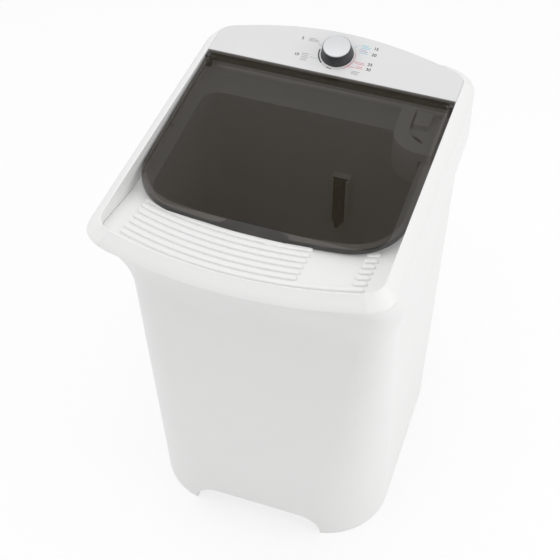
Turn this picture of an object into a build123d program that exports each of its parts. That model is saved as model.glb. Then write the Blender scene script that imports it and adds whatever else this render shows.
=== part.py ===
from build123d import *
from math import asin, degrees, inf, isinf
import os

os.makedirs("parts", exist_ok=True)

# All sizes are in millimetres. Distances along Y are measured from the hinge line, which runs
# along the front edge of the control fascia, and heights from the floor.

# Cabinet body, with a wider corner at the floor than under the skirt
BODY_HALF_WIDTH = 255
BODY_FRONT = 448
BODY_TOP = 648
BODY_CORNER = 65
FLOOR_CORNER = 140
SHELL_WALL = 3
FOOT_GAP = 1

# Rim that rises from the hinge line to the front
RIM_HEIGHT = 898
RIM_SLOPE = 0.0465
RIM_HALF_WIDTH = 271
FRONT_REACH = 589
BACK_REACH = 131
RIM_WIDTH = 24
RIM_BAND = 22
RIM_EDGE = 2
RIM_CORNER = 55
RIM_BACK_CORNER = 80
RIM_BOW = 780
SKIRT_FLARE = 2.4
SKIRT_SPREAD = 1.75
SKIRT_BOW_FADE = 6
SKIRT_BOW_START = 0.5
SKIRT_STATIONS = (0, 0.15, 0.28, 0.42, 0.56, 0.74, 0.9, 1)
FLAT = inf
OVERLAP = 1

# Opening in the rim, which holds the tub and the fascia
OPENING_CORNER = 42
OPENING_BOW = 760
FASCIA_REACH = 101
FASCIA_CORNER = 25
FASCIA_BOW = 1500
FLANGE_DEPTH = 48
LEDGE_WIDTH = 8
LEDGE_WALL = 3
FLANGE_WALL = 1.6

# Arch in the foot of the front
ARCH_HALF_WIDTH = 143
ARCH_HEIGHT = 52
ARCH_RADIUS = 48
ARCH_DEPTH = 60
ARCH_OVERLAP = 2

# Fascia, crowned across its width
CROWN_SLOPE = 0.24
FASCIA_WALL = 3
FASCIA_SKIRT = 26
FASCIA_SEAT = 20
FASCIA_EDGE = 2
SEAM_GAP = 0.5
HINGE_BAR_DEPTH = 12
HINGE_BAR_WALL = 2.5

# Tub insert: shelf, washboard tray and well
TUB_WALL = 3
TUB_GAP = 1
SHELF_DROP = 30
TRAY_START = 378
TRAY_SLOPE = 0.2555
UPSTAND_HEIGHT = 17
UPSTAND_WALL = 3
WELL_HALF_WIDTH = 219
WELL_FRONT = 400
WELL_BACK = 82
WELL_FRONT_CORNER = 60
WELL_BACK_CORNER = 32
WELL_FLOOR_HALF_WIDTH = 190
WELL_FLOOR_FRONT = 370
WELL_FLOOR_BACK = 110
WELL_FLOOR_CORNER = 75
TUB_FLOOR = 428
TUB_BOSS = 8
TUB_SCREW_PLACES = (200, 330)

# Washboard ribs
RIB_COUNT = 6
RIB_FIRST = 67
RIB_PITCH = 18.1
RIB_WIDTH = 12.5
RIB_HEIGHT = 4.5
RIB_ROUND = 3.6
RIB_BOW = 560
RIB_LEFT = -204
RIB_RIGHT = 100
SOAP_REST_RIGHT = 198
RIB_END = 210

# Lid
LID_HALF_WIDTH = 244
LID_REACH = 434
LID_BACK = 9
LID_CORNER = 105
LID_BACK_CORNER = 4
LID_BOW = 1200
LID_WALL = 3
LID_BAND = 9
LID_BAND_DROP = 4
LID_REST = 0.3
SCOOP_HALF_WIDTH = 66
SCOOP_LENGTH = 21
HINGE_BACK = 12
HINGE_DROP = 8
HINGE_RADIUS = 2.5
HINGE_BOSS_RADIUS = 5.5
HINGE_BLOCK = 10
HINGE_BLOCK_HALF_WIDTH = 5
RUNNING_GAP = 0.05

# Programme knob and timer
DIAL_BACK = 49
KNOB_RADIUS = 32
KNOB_TOP_RADIUS = 27.2
KNOB_CAP_RADIUS = 26.2
KNOB_HEIGHT = 24
KNOB_GAP = 0.8
KNOB_CAP = 2
KNOB_FLUTES = 28
KNOB_RECESS = 14
TIMER_WIDTH = 58
TIMER_LENGTH = 50
TIMER_DEPTH = 34
TIMER_SHAFT_RADIUS = 3
TIMER_SHAFT_FLAT = 2.2
TIMER_BUSH_RADIUS = 5
TIMER_NUT_SIZE = 15
TIMER_NUT_HEIGHT = 3

# Dispenser cup in the back right corner
CUP_LEFT = 154
CUP_RIGHT = 238
CUP_FRONT = 150
CUP_BACK = 26
CUP_CORNER = 58
CUP_BAND = 26
CUP_RISE = 20
CUP_DEPTH = 75
CUP_WALL = 3
CUP_GAP = 3
SIPHON_WIDTH = 30
SIPHON_LENGTH = 40
SIPHON_HEIGHT = 11

# Lint filter on the back wall of the well
FILTER_X = 60
FILTER_WIDTH = 30
FILTER_DEPTH = 24
FILTER_TOP_DROP = 159
FILTER_HEIGHT = 116
FILTER_WALL = 2.5
FILTER_FACE = 104
FILTER_RAIL = 3
FILTER_GAP = 0.4
MESH_THICKNESS = 0.8

# Drive line under the tub
AGITATOR_BACK = 240
AGITATOR_RADIUS = 112
AGITATOR_GAP = 5
AGITATOR_HEIGHT = 25
AGITATOR_VANES = 6
AGITATOR_HOLE_RING = 80.6
AGITATOR_HOLES = 18
AGITATOR_HOLE_TURN = 10
SHAFT_RADIUS = 6
SEAL_RADIUS = 15
BUSH_RADIUS = 11
BUSH_LENGTH = 20
HOUSING_RADIUS = 22
HOUSING_LENGTH = 66
HOUSING_FLANGE_RADIUS = 58
HOUSING_FLANGE = 6
HOUSING_BOLT_CIRCLE = 45
BOLT_RADIUS = 3
PULLEY_RADIUS = 85
PULLEY_GROOVE_RADIUS = 78
PULLEY_WIDTH = 18
PULLEY_DROP = 27
BELT_WIDTH = 9
BELT_THICKNESS = 6
BELT_GAP = 0.3
WEB_HOLES = 6
MOTOR_SPACING = 130
MOTOR_BOLT_SPACING = 74
MOTOR_RADIUS = 60
MOTOR_CORE = 54
MOTOR_SHIELD = 13
MOTOR_SHAFT_RADIUS = 5
MOTOR_BEARING_RADIUS = 11
MOTOR_BEARING_WIDTH = 8
MOTOR_PULLEY_RADIUS = 22
MOTOR_GROOVE_RADIUS = 15
ROTOR_RADIUS = 30
ROTOR_GAP = 0.5
FAN_RADIUS = 38
FAN_BLADES = 12
FAN_HEIGHT = 6
MOTOR_PLATE = 3
MOTOR_PLATE_WIDTH = 128
MOTOR_PLATE_LENGTH = 200
DAMPER_HEIGHT = 9
DAMPER_RADIUS = 9
DAMPER_SPACING_X = 100
DAMPER_SPACING_Y = 160

# Drain
DRAIN_X = -120
DRAIN_DROP = 30
PIPE_RADIUS = 14
PIPE_WALL = 3
ELBOW_BEND = 20
ELBOW_REACH = 40
HOSE_OVERLAP = 18
CLIP_WIDTH = 8
CLIP_WALL = 1.5
OUTLET_LENGTH = 36
OUTLET_FLANGE_RADIUS = 20
OUTLET_FLANGE = 1.5

# Base, feet and rear service cover
BASE_HEIGHT = 9
BASE_WALL = 3
BASE_GAP = 0.6
BASE_BOSS_RADIUS = 7
BASE_BOSS_HEIGHT = 40
BASE_BOSS_INSET = 8
BASE_BOSS_PLACES = (20, 300)
SCREW_RADIUS = 2
SCREW_HEAD_RADIUS = 3.5
SCREW_HEAD = 2
PAD_RADIUS = 18
PAD_STEM_RADIUS = 5
PAD_STEM_END = 2
FRONT_PAD = (200, 270)
BACK_PAD = (170, -50)
COVER_HALF_WIDTH = 110
COVER_TOP_HALF_WIDTH = 150
COVER_BOTTOM = 80
COVER_TOP = 430
COVER_WALL = 2
COVER_LAND = 10
COVER_GAP = 0.5
VENT_HEIGHT = 190
VENT_ROWS = 4
VENT_PITCH = 30
VENT_LENGTH = 77
VENT_WIDTH = 5
GLAND_X = 70
GLAND_HEIGHT = 350
GLAND_RADIUS = 8
GLAND_BORE = 4
GLAND_FLANGE_RADIUS = 12
CAPACITOR_RADIUS = 18
CAPACITOR_LENGTH = 62
CAPACITOR_X = -150
CAPACITOR_BACK = 120
CLAMP_WALL = 2
CLAMP_WIDTH = 12

# Places that follow from the sizes above
HINGE_Y = (FRONT_REACH - BACK_REACH) / 2
OPENING_HALF_WIDTH = RIM_HALF_WIDTH - RIM_WIDTH
OPENING_FRONT = FRONT_REACH - RIM_WIDTH
SHELF_HEIGHT = RIM_HEIGHT - SHELF_DROP
RIM_EDGE_HEIGHT = RIM_HEIGHT - RIM_BAND
AGITATOR_Y = HINGE_Y - AGITATOR_BACK
BOSS_HEIGHT = TUB_FLOOR - TUB_WALL - TUB_BOSS
LID_DEPTH = SHELF_DROP - TRAY_SLOPE * (LID_REACH - TRAY_START) - LID_REST
HOUSING_BOTTOM = BOSS_HEIGHT - HOUSING_FLANGE - HOUSING_LENGTH
PULLEY_TOP = HOUSING_BOTTOM - PULLEY_DROP
PULLEY_BOTTOM = PULLEY_TOP - PULLEY_WIDTH
MOTOR_PLATE_HEIGHT = BOSS_HEIGHT - DAMPER_HEIGHT - MOTOR_PLATE
MOTOR_BOTTOM = MOTOR_PLATE_HEIGHT - 2 * MOTOR_SHIELD - MOTOR_CORE
DRAIN_HEIGHT = TUB_FLOOR - TUB_WALL - DRAIN_DROP

# Planes of the shared datums
rim_plane = Plane((0, HINGE_Y, RIM_HEIGHT), x_dir=(1, 0, 0), z_dir=(0, RIM_SLOPE, 1))
rim_edge_plane = Plane((0, HINGE_Y, RIM_EDGE_HEIGHT), x_dir=(1, 0, 0), z_dir=(0, RIM_SLOPE, 1))
dial_height = RIM_HEIGHT + CROWN_SLOPE * DIAL_BACK
dial_plane = Plane((0, HINGE_Y + DIAL_BACK, dial_height), x_dir=(1, 0, 0), z_dir=(0, -CROWN_SLOPE, 1))
tray_plane = Plane((0, HINGE_Y - TRAY_START, SHELF_HEIGHT), x_dir=(1, 0, 0), z_dir=(0, TRAY_SLOPE, 1))
agitator_axis = Plane((0, AGITATOR_Y, 0))
motor_axis = Plane((MOTOR_SPACING, AGITATOR_Y, 0))


def level(height):
    """Level plane at a height, with its origin on the hinge line."""
    return Plane((0, HINGE_Y, height))


def outline(half_width, front, back, front_corner, back_corner, front_bow, back_bow):
    """Plan outline with rounded corners and bowed or straight ends, as one half and its mirror image."""
    front_turn = degrees(asin((half_width - front_corner) / (front_bow - front_corner)))
    back_turn = degrees(asin((half_width - back_corner) / (back_bow - back_corner)))
    with BuildSketch() as plan:
        with BuildLine():
            if isinf(front_bow):
                front_edge = Line((0, -front), (half_width - front_corner, -front))
            else:
                front_edge = JernArc((0, -front), (1, 0), front_bow, front_turn)
            front_end = JernArc(front_edge @ 1, front_edge % 1, front_corner, 90 - front_turn)
            if isinf(back_bow):
                back_edge = Line((0, back), (half_width - back_corner, back))
            else:
                back_edge = JernArc((0, back), (1, 0), back_bow, -back_turn)
            back_end = JernArc(back_edge @ 1, back_edge % 1, back_corner, back_turn - 90)
            Line(front_end @ 1, back_end @ 1)
            mirror(about=Plane.YZ)
        make_face()
    return plan.sketch


def opening(grow):
    """Opening in the rim, made larger all round by a distance."""
    return outline(
        OPENING_HALF_WIDTH + grow,
        OPENING_FRONT + grow,
        FASCIA_REACH + grow,
        OPENING_CORNER + grow,
        FASCIA_CORNER + grow,
        OPENING_BOW + grow,
        FASCIA_BOW + grow,
    )


def skirt(fraction, inset):
    """Section of the skirt between the body, at 0, and the edge of the rim, at 1."""
    spread = min(1, fraction * SKIRT_SPREAD)
    side = spread * spread * (3 - 2 * spread)
    half_width = BODY_HALF_WIDTH + (RIM_HALF_WIDTH - BODY_HALF_WIDTH) * side
    front = BODY_FRONT + (FRONT_REACH - BODY_FRONT) * fraction**SKIRT_FLARE
    corner = BODY_CORNER + (RIM_CORNER - BODY_CORNER) * fraction
    back_corner = BODY_CORNER + (RIM_BACK_CORNER - BODY_CORNER) * fraction
    bow = FLAT if fraction < SKIRT_BOW_START else RIM_BOW / fraction**SKIRT_BOW_FADE
    return outline(
        half_width - inset,
        front - inset,
        BACK_REACH - inset,
        corner - inset,
        back_corner - inset,
        bow - inset,
        FLAT - inset,
    )


def shell_body(inset, bottom, collar):
    """Body and flared skirt as one solid, set in by a distance, with a collar on top of it."""
    with BuildPart() as solid:
        with BuildSketch(level(bottom)):
            floor_corner = FLOOR_CORNER - inset
            front = BODY_FRONT - inset
            back = BACK_REACH - inset
            add(outline(BODY_HALF_WIDTH - inset, front, back, floor_corner, floor_corner, FLAT, FLAT))
        with BuildSketch(level(BODY_TOP)):
            add(skirt(0, inset))
        loft(ruled=True)
        for fraction in SKIRT_STATIONS:
            height = BODY_TOP + (RIM_EDGE_HEIGHT - BODY_TOP) * fraction
            tilt = RIM_SLOPE * fraction
            with BuildSketch(Plane((0, HINGE_Y, height), x_dir=(1, 0, 0), z_dir=(0, tilt, 1))):
                add(skirt(fraction, inset))
        loft()
        if collar:
            with BuildSketch(rim_edge_plane):
                add(skirt(1, inset))
            extrude(amount=collar)
    return solid.part


def rim_band(inset, collar):
    """Sloping band of the rim as one solid, set in by a distance, with a collar under it."""
    with BuildPart() as solid:
        with BuildSketch(rim_edge_plane):
            add(skirt(1, inset))
        with BuildSketch(rim_plane.offset(-inset)):
            add(opening(RIM_EDGE))
        loft(ruled=True)
        if collar:
            with BuildSketch(rim_edge_plane):
                add(skirt(1, inset))
            extrude(amount=-collar)
    return solid.part


def crown(top, bottom):
    """Block between two surfaces that follow the crowned fascia, behind the hinge line."""
    rise = (CROWN_SLOPE + RIM_SLOPE) * BACK_REACH
    half_width = OPENING_HALF_WIDTH + RIM_EDGE
    radius = (half_width**2 + rise**2) / (2 * rise)
    centre = CROWN_SLOPE * BACK_REACH
    side = centre - radius + (radius**2 - RIM_HALF_WIDTH**2) ** 0.5
    with BuildPart() as block:
        with BuildSketch(Plane((0, HINGE_Y, RIM_HEIGHT), x_dir=(1, 0, 0), z_dir=(0, -1, 0))):
            with BuildLine():
                upper = Line((-RIM_HALF_WIDTH, top), (RIM_HALF_WIDTH, top))
                lower = Line((-RIM_HALF_WIDTH, bottom), (RIM_HALF_WIDTH, bottom))
                Line(upper @ 0, lower @ 0)
                Line(upper @ 1, lower @ 1)
            make_face()
        with BuildSketch(Plane((0, HINGE_Y + BACK_REACH, RIM_HEIGHT), x_dir=(1, 0, 0), z_dir=(0, -1, 0))):
            with BuildLine():
                upper = ThreePointArc(
                    (-RIM_HALF_WIDTH, side + top), (0, centre + top), (RIM_HALF_WIDTH, side + top)
                )
                lower = ThreePointArc(
                    (-RIM_HALF_WIDTH, side + bottom), (0, centre + bottom), (RIM_HALF_WIDTH, side + bottom)
                )
                Line(upper @ 0, lower @ 0)
                Line(upper @ 1, lower @ 1)
            make_face()
        loft(ruled=True)
    return block.part


def tray_band(top, bottom):
    """Slab that follows the shelf and the sloping tray, over the whole width and depth."""
    front = HINGE_Y - FRONT_REACH
    back = HINGE_Y + BACK_REACH
    fold = HINGE_Y - TRAY_START
    front_rise = TRAY_SLOPE * (FRONT_REACH - TRAY_START)
    with BuildPart() as slab:
        with BuildSketch(Plane.YZ):
            with BuildLine():
                Polyline(
                    (front, SHELF_HEIGHT + front_rise + top),
                    (fold, SHELF_HEIGHT + top),
                    (back, SHELF_HEIGHT + top),
                    (back, SHELF_HEIGHT + bottom),
                    (fold, SHELF_HEIGHT + bottom),
                    (front, SHELF_HEIGHT + front_rise + bottom),
                    close=True,
                )
            make_face()
        extrude(amount=RIM_HALF_WIDTH, both=True)
    return slab.part


def ring(inner, outer, bottom, height):
    """Upright ring round the opening."""
    with BuildPart() as wall:
        with BuildSketch(level(bottom)):
            add(opening(outer))
        extrude(amount=height)
        with BuildSketch(level(bottom)):
            add(opening(inner))
        extrude(amount=height, mode=Mode.SUBTRACT)
    return wall.part


def well(grow, bottom):
    """Well of the tub, made larger all round by a distance."""
    with BuildPart() as solid:
        with BuildSketch(level(bottom)):
            half_width = WELL_FLOOR_HALF_WIDTH + grow
            front = WELL_FLOOR_FRONT + grow
            back = grow - WELL_FLOOR_BACK
            corner = WELL_FLOOR_CORNER + grow
            add(outline(half_width, front, back, corner, corner, FLAT, FLAT))
        with BuildSketch(level(SHELF_HEIGHT)):
            half_width = WELL_HALF_WIDTH + grow
            front = WELL_FRONT + grow
            back = grow - WELL_BACK
            front_corner = WELL_FRONT_CORNER + grow
            add(outline(half_width, front, back, front_corner, WELL_BACK_CORNER + grow, FLAT, FLAT))
        loft(ruled=True)
        extrude(solid.faces().sort_by(Axis.Z)[-1], amount=SHELF_DROP)
    return solid.part


def tube(plane, outer, inner, bottom, top):
    """Plain round sleeve along the axis of a plane."""
    with BuildPart() as sleeve:
        with BuildSketch(plane.offset(bottom)):
            Circle(outer)
            Circle(inner, mode=Mode.SUBTRACT)
        extrude(amount=top - bottom)
    return sleeve.part


# Rim: a frame round the top of the cabinet, with a flange and ledges for the tub and the fascia
outer_band = rim_band(0, 0)
inner_band = rim_band(SHELL_WALL, OVERLAP)
ledge_band = tray_band(-TUB_WALL, -TUB_WALL - LEDGE_WALL)
ledge_ring = ring(-LEDGE_WIDTH, FLANGE_WALL / 2, RIM_HEIGHT - 2 * FLANGE_DEPTH, 3 * FLANGE_DEPTH)
flange_ring = ring(0, FLANGE_WALL, RIM_HEIGHT - FLANGE_DEPTH, 2 * FLANGE_DEPTH)
flange_band = tray_band(3 * FLANGE_DEPTH, -TUB_WALL - LEDGE_WALL)
with BuildPart() as tub_ledge:
    add(ledge_band)
    add(ledge_ring, mode=Mode.INTERSECT)

with BuildPart() as flange:
    add(flange_ring)
    add(flange_band, mode=Mode.INTERSECT)
    split(bisect_by=rim_plane, keep=Keep.BOTTOM)

with BuildPart() as rim:
    add(outer_band)
    add(inner_band, mode=Mode.SUBTRACT)
    with BuildSketch(level(RIM_HEIGHT - FLANGE_DEPTH)):
        add(opening(0))
    extrude(amount=2 * FLANGE_DEPTH, mode=Mode.SUBTRACT)
    add(flange.part)
    add(tub_ledge.part)
    with BuildSketch(rim_plane.offset(-FASCIA_SEAT)):
        add(opening(FLANGE_WALL / 2))
        add(opening(-LEDGE_WIDTH), mode=Mode.SUBTRACT)
        with Locations((0, HINGE_BAR_WALL + 3 * SEAM_GAP - FRONT_REACH)):
            Rectangle(2 * RIM_HALF_WIDTH, 2 * FRONT_REACH, mode=Mode.SUBTRACT)
    extrude(amount=-LEDGE_WALL)
    for place in TUB_SCREW_PLACES:
        with BuildSketch(level(SHELF_HEIGHT - FLANGE_DEPTH / 2)):
            with GridLocations(2 * OPENING_HALF_WIDTH - LEDGE_WIDTH, 0, 2, 1):
                with Locations((0, -place)):
                    Circle(SCREW_RADIUS)
        extrude(amount=FLANGE_DEPTH / 2, mode=Mode.SUBTRACT)

rim.part.label = "rim"
export_step(rim.part, "parts/rim.step")


def cover_outline(inset):
    """Outline of the service cover, wider at its top as the body is, drawn in by a distance."""
    low = COVER_HALF_WIDTH - inset
    high = COVER_TOP_HALF_WIDTH - inset
    bottom = COVER_BOTTOM + inset
    top = COVER_TOP - inset
    return Polygon((-low, bottom), (low, bottom), (high, top), (-high, top), align=None)


# Cabinet: one moulding with the body and the skirt, which carries the rim on its edge
back_wall = Plane((0, HINGE_Y + BACK_REACH, 0), x_dir=(-1, 0, 0), z_dir=(0, 1, 0))
front_wall = Plane((0, HINGE_Y - BODY_FRONT, 0), x_dir=(1, 0, 0), z_dir=(0, -1, 0))
outer_body = shell_body(0, FOOT_GAP, 0)
inner_body = shell_body(SHELL_WALL, FOOT_GAP - SHELL_WALL, OVERLAP)
screw_low = COVER_BOTTOM + COVER_LAND / 2
screw_high = COVER_TOP - COVER_LAND / 2
screw_low_x = COVER_HALF_WIDTH - COVER_LAND / 2
screw_high_x = COVER_TOP_HALF_WIDTH - COVER_LAND / 2
cover_screw_places = [
    (-screw_low_x, screw_low), (screw_low_x, screw_low), (-screw_high_x, screw_high), (screw_high_x, screw_high)
]
with BuildPart() as cabinet:
    add(outer_body)
    add(inner_body, mode=Mode.SUBTRACT)
    # Recess behind the arch
    with BuildSketch(front_wall.offset(-SHELL_WALL - ARCH_OVERLAP)):
        with Locations((0, FOOT_GAP)):
            Rectangle(2 * (ARCH_HALF_WIDTH + SHELL_WALL), ARCH_HEIGHT + SHELL_WALL, align=(Align.CENTER, Align.MIN))
        fillet(vertices().group_by(Axis.Y)[-1], ARCH_RADIUS + SHELL_WALL)
    extrude(amount=-ARCH_DEPTH)
    with BuildSketch(front_wall.offset(SHELL_WALL)):
        Rectangle(2 * ARCH_HALF_WIDTH, ARCH_HEIGHT + FOOT_GAP, align=(Align.CENTER, Align.MIN))
        fillet(vertices().group_by(Axis.Y)[-1], ARCH_RADIUS)
    extrude(amount=-ARCH_DEPTH - SHELL_WALL, mode=Mode.SUBTRACT)
    # Bosses for the base plate
    for place in BASE_BOSS_PLACES:
        with BuildSketch(level(BASE_HEIGHT + BASE_WALL)):
            with Locations(
                (BODY_HALF_WIDTH - BASE_BOSS_INSET, -place), (BASE_BOSS_INSET - BODY_HALF_WIDTH, -place)
            ):
                Circle(BASE_BOSS_RADIUS)
                Circle(SCREW_RADIUS, mode=Mode.SUBTRACT)
        extrude(amount=BASE_BOSS_HEIGHT)
    # Service opening with a land for its cover
    with BuildSketch(back_wall.offset(-COVER_WALL)):
        add(cover_outline(0))
    extrude(amount=2 * COVER_WALL, mode=Mode.SUBTRACT)
    with BuildSketch(back_wall.offset(-2 * SHELL_WALL)):
        add(cover_outline(COVER_LAND))
    extrude(amount=2 * SHELL_WALL, mode=Mode.SUBTRACT)
    # Holes for the screws of the cover
    with BuildSketch(back_wall.offset(-2 * SHELL_WALL)):
        with Locations(cover_screw_places):
            Circle(SCREW_RADIUS)
    extrude(amount=3 * SHELL_WALL, mode=Mode.SUBTRACT)

cabinet.part.label = "cabinet"
export_step(cabinet.part, "parts/cabinet.step")


def rib_arc(back, left, right):
    """Curve of one washboard rib on the tray, between two places across the tray."""
    start = degrees(asin(left / RIB_BOW))
    end = degrees(asin(right / RIB_BOW))
    return CenterArc((0, back + RIB_BOW), RIB_BOW, start - 90, end - start)


def lid_outline(inset):
    """Plan outline of the lid, drawn in by a distance at its front and sides."""
    half_width = LID_HALF_WIDTH - inset
    corner = LID_CORNER - inset
    return outline(half_width, LID_REACH - inset, -LID_BACK, corner, LID_BACK_CORNER, LID_BOW - inset, FLAT)


# Washboard: long curved ribs, a full one at the front, and short ribs past the soap rest
lid_bottom = RIM_HEIGHT - LID_DEPTH
rib_arcs = [rib_arc(-RIB_FIRST - RIB_COUNT * RIB_PITCH, RIB_LEFT, RIB_END)]
for row in range(RIB_COUNT):
    rib_arcs.append(rib_arc(-RIB_FIRST - row * RIB_PITCH, RIB_LEFT, RIB_RIGHT))
    rib_arcs.append(rib_arc(-RIB_FIRST - row * RIB_PITCH, SOAP_REST_RIGHT, RIB_END))
with BuildPart() as washboard:
    with BuildSketch(tray_plane):
        for arc in rib_arcs:
            SlotArc(arc, RIB_WIDTH)
    extrude(amount=RIB_HEIGHT)
    tops = washboard.faces().filter_by(lambda face: face.normal_at().dot(tray_plane.z_dir) > 0.99)
    fillet(tops.edges(), RIB_ROUND)
    with BuildSketch(level(lid_bottom - LID_REST)):
        add(lid_outline(-TUB_GAP))
    extrude(amount=FLANGE_DEPTH, mode=Mode.SUBTRACT)

# Tub: shelf, sloping tray and well in one moulding
with BuildPart() as tub:
    add(tray_band(0, -TUB_WALL))
    with BuildSketch(level(SHELF_HEIGHT - FLANGE_DEPTH)):
        add(opening(-TUB_GAP))
        with Locations((0, FASCIA_REACH)):
            Rectangle(4 * RIM_HALF_WIDTH, 2 * (FASCIA_REACH + TUB_GAP), mode=Mode.SUBTRACT)
    extrude(amount=3 * FLANGE_DEPTH, mode=Mode.INTERSECT)
    add(well(TUB_WALL, TUB_FLOOR - TUB_WALL))
    add(tray_band(3 * FLANGE_DEPTH, 0), mode=Mode.SUBTRACT)
    add(well(0, TUB_FLOOR), mode=Mode.SUBTRACT)
    with BuildSketch(level(SHELF_HEIGHT - TUB_WALL)):
        with Locations((0, -TUB_GAP - UPSTAND_WALL / 2)):
            Rectangle(2 * (OPENING_HALF_WIDTH - TUB_GAP), UPSTAND_WALL)
    extrude(amount=UPSTAND_HEIGHT + TUB_WALL)
    # Bosses under the floor for the bearing housing and the motor plate
    with BuildSketch(agitator_axis.offset(BOSS_HEIGHT)):
        Circle(HOUSING_FLANGE_RADIUS)
        with Locations((MOTOR_SPACING, 0)):
            with GridLocations(DAMPER_SPACING_X, DAMPER_SPACING_Y, 2, 2):
                Circle(DAMPER_RADIUS)
    extrude(amount=TUB_BOSS + TUB_WALL)
    with BuildSketch(agitator_axis.offset(BOSS_HEIGHT)):
        Circle(SEAL_RADIUS)
    extrude(amount=TUB_BOSS + 2 * TUB_WALL, mode=Mode.SUBTRACT)
    with BuildSketch(agitator_axis.offset(BOSS_HEIGHT)):
        with PolarLocations(HOUSING_BOLT_CIRCLE, 4, start_angle=45):
            Circle(BOLT_RADIUS)
        with Locations((MOTOR_SPACING, 0)):
            with GridLocations(DAMPER_SPACING_X, DAMPER_SPACING_Y, 2, 2):
                Circle(BOLT_RADIUS)
    extrude(amount=TUB_BOSS, mode=Mode.SUBTRACT)
    # Drain hole and the holes of the screws that hold the tub in the rim
    with BuildSketch(agitator_axis.offset(TUB_FLOOR - TUB_WALL)):
        with Locations((DRAIN_X, 0)):
            Circle(PIPE_RADIUS - PIPE_WALL)
    extrude(amount=TUB_WALL, mode=Mode.SUBTRACT)
    for place in TUB_SCREW_PLACES:
        with BuildSketch(level(SHELF_HEIGHT - TUB_WALL)):
            with GridLocations(2 * OPENING_HALF_WIDTH - LEDGE_WIDTH, 0, 2, 1):
                with Locations((0, -place)):
                    Circle(SCREW_RADIUS)
        extrude(amount=TUB_WALL, mode=Mode.SUBTRACT)
    add(washboard.part)

tub.part.label = "tub"
export_step(tub.part, "parts/tub.step")

# Screws that hold the edge of the tub on the ledge of the rim
with BuildPart() as tub_screws:
    for place in TUB_SCREW_PLACES:
        with BuildSketch(level(SHELF_HEIGHT)):
            with GridLocations(2 * OPENING_HALF_WIDTH - LEDGE_WIDTH, 0, 2, 1):
                with Locations((0, -place)):
                    Circle(SCREW_HEAD_RADIUS)
        extrude(amount=SCREW_HEAD)
        with BuildSketch(level(SHELF_HEIGHT)):
            with GridLocations(2 * OPENING_HALF_WIDTH - LEDGE_WIDTH, 0, 2, 1):
                with Locations((0, -place)):
                    Circle(SCREW_RADIUS)
        extrude(amount=-TUB_WALL - LEDGE_WALL - SCREW_HEAD)

tub_screws.part.label = "tub_screws"
export_step(tub_screws.part, "parts/tub_screws.step")

# Fascia: a crowned plate with a front skirt and a hole for the timer
fascia_block = crown(0, -FASCIA_WALL)
edge_block = crown(-FASCIA_WALL / 2, -2 * FLANGE_DEPTH)
edge_ring = ring(-SEAM_GAP - FASCIA_EDGE, -SEAM_GAP, RIM_HEIGHT - FLANGE_DEPTH, 2 * FLANGE_DEPTH)
with BuildPart() as fascia_edge:
    add(edge_block)
    add(edge_ring, mode=Mode.INTERSECT)
    split(bisect_by=rim_plane.offset(-FASCIA_SEAT), keep=Keep.TOP)

with BuildPart() as fascia:
    add(fascia_block)
    with BuildSketch(level(SHELF_HEIGHT - FLANGE_DEPTH)):
        add(opening(-SEAM_GAP))
    extrude(amount=4 * FLANGE_DEPTH, mode=Mode.INTERSECT)
    with BuildSketch(level(RIM_HEIGHT - FASCIA_SKIRT)):
        with Locations((0, HINGE_BAR_WALL / 2)):
            Rectangle(2 * (OPENING_HALF_WIDTH - SEAM_GAP), HINGE_BAR_WALL)
    extrude(amount=FASCIA_SKIRT - FASCIA_WALL / 2)
    add(fascia_edge.part)
    with BuildSketch(dial_plane.offset(-2 * FASCIA_WALL)):
        Circle(TIMER_BUSH_RADIUS)
    extrude(amount=3 * FASCIA_WALL, mode=Mode.SUBTRACT)

fascia.part.label = "fascia"
export_step(fascia.part, "parts/fascia.step")

# Smoked bar along the front edge of the fascia
with BuildPart() as hinge_bar:
    with BuildSketch(level(RIM_HEIGHT - HINGE_BAR_DEPTH)):
        with Locations((0, -HINGE_BAR_WALL / 2)):
            Rectangle(2 * LID_HALF_WIDTH, HINGE_BAR_WALL)
    extrude(amount=HINGE_BAR_DEPTH - SEAM_GAP)

hinge_bar.part.label = "hinge_bar"
export_step(hinge_bar.part, "parts/hinge_bar.step")


def scoop(shift):
    """Wedge that opens the finger scoop: an arc on the lid's top, a straight edge at its bottom."""
    front = -LID_REACH + shift
    with BuildPart() as wedge:
        with BuildSketch(level(lid_bottom)):
            with BuildLine():
                Polyline(
                    (-SCOOP_HALF_WIDTH, front),
                    (-SCOOP_HALF_WIDTH, front - SCOOP_LENGTH),
                    (SCOOP_HALF_WIDTH, front - SCOOP_LENGTH),
                    (SCOOP_HALF_WIDTH, front),
                    close=True,
                )
            make_face()
        with BuildSketch(level(RIM_HEIGHT)):
            with BuildLine():
                Polyline(
                    (-SCOOP_HALF_WIDTH, front),
                    (-SCOOP_HALF_WIDTH, front - SCOOP_LENGTH),
                    (SCOOP_HALF_WIDTH, front - SCOOP_LENGTH),
                    (SCOOP_HALF_WIDTH, front),
                )
                ThreePointArc((-SCOOP_HALF_WIDTH, front), (0, front + SCOOP_LENGTH), (SCOOP_HALF_WIDTH, front))
            make_face()
        loft(ruled=True)
    return wedge.part


def lid_block(inset, top, bottom):
    """Solid inside the lid's outer surface, with the sloping band along its edge."""
    with BuildPart() as block:
        with BuildSketch(level(bottom)):
            add(lid_outline(inset))
        extrude(amount=top - LID_BAND_DROP - bottom)
        with BuildSketch(level(top - LID_BAND_DROP)):
            add(lid_outline(inset))
        with BuildSketch(level(top)):
            add(lid_outline(inset + LID_BAND))
        loft(ruled=True)
    return block.part


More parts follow.
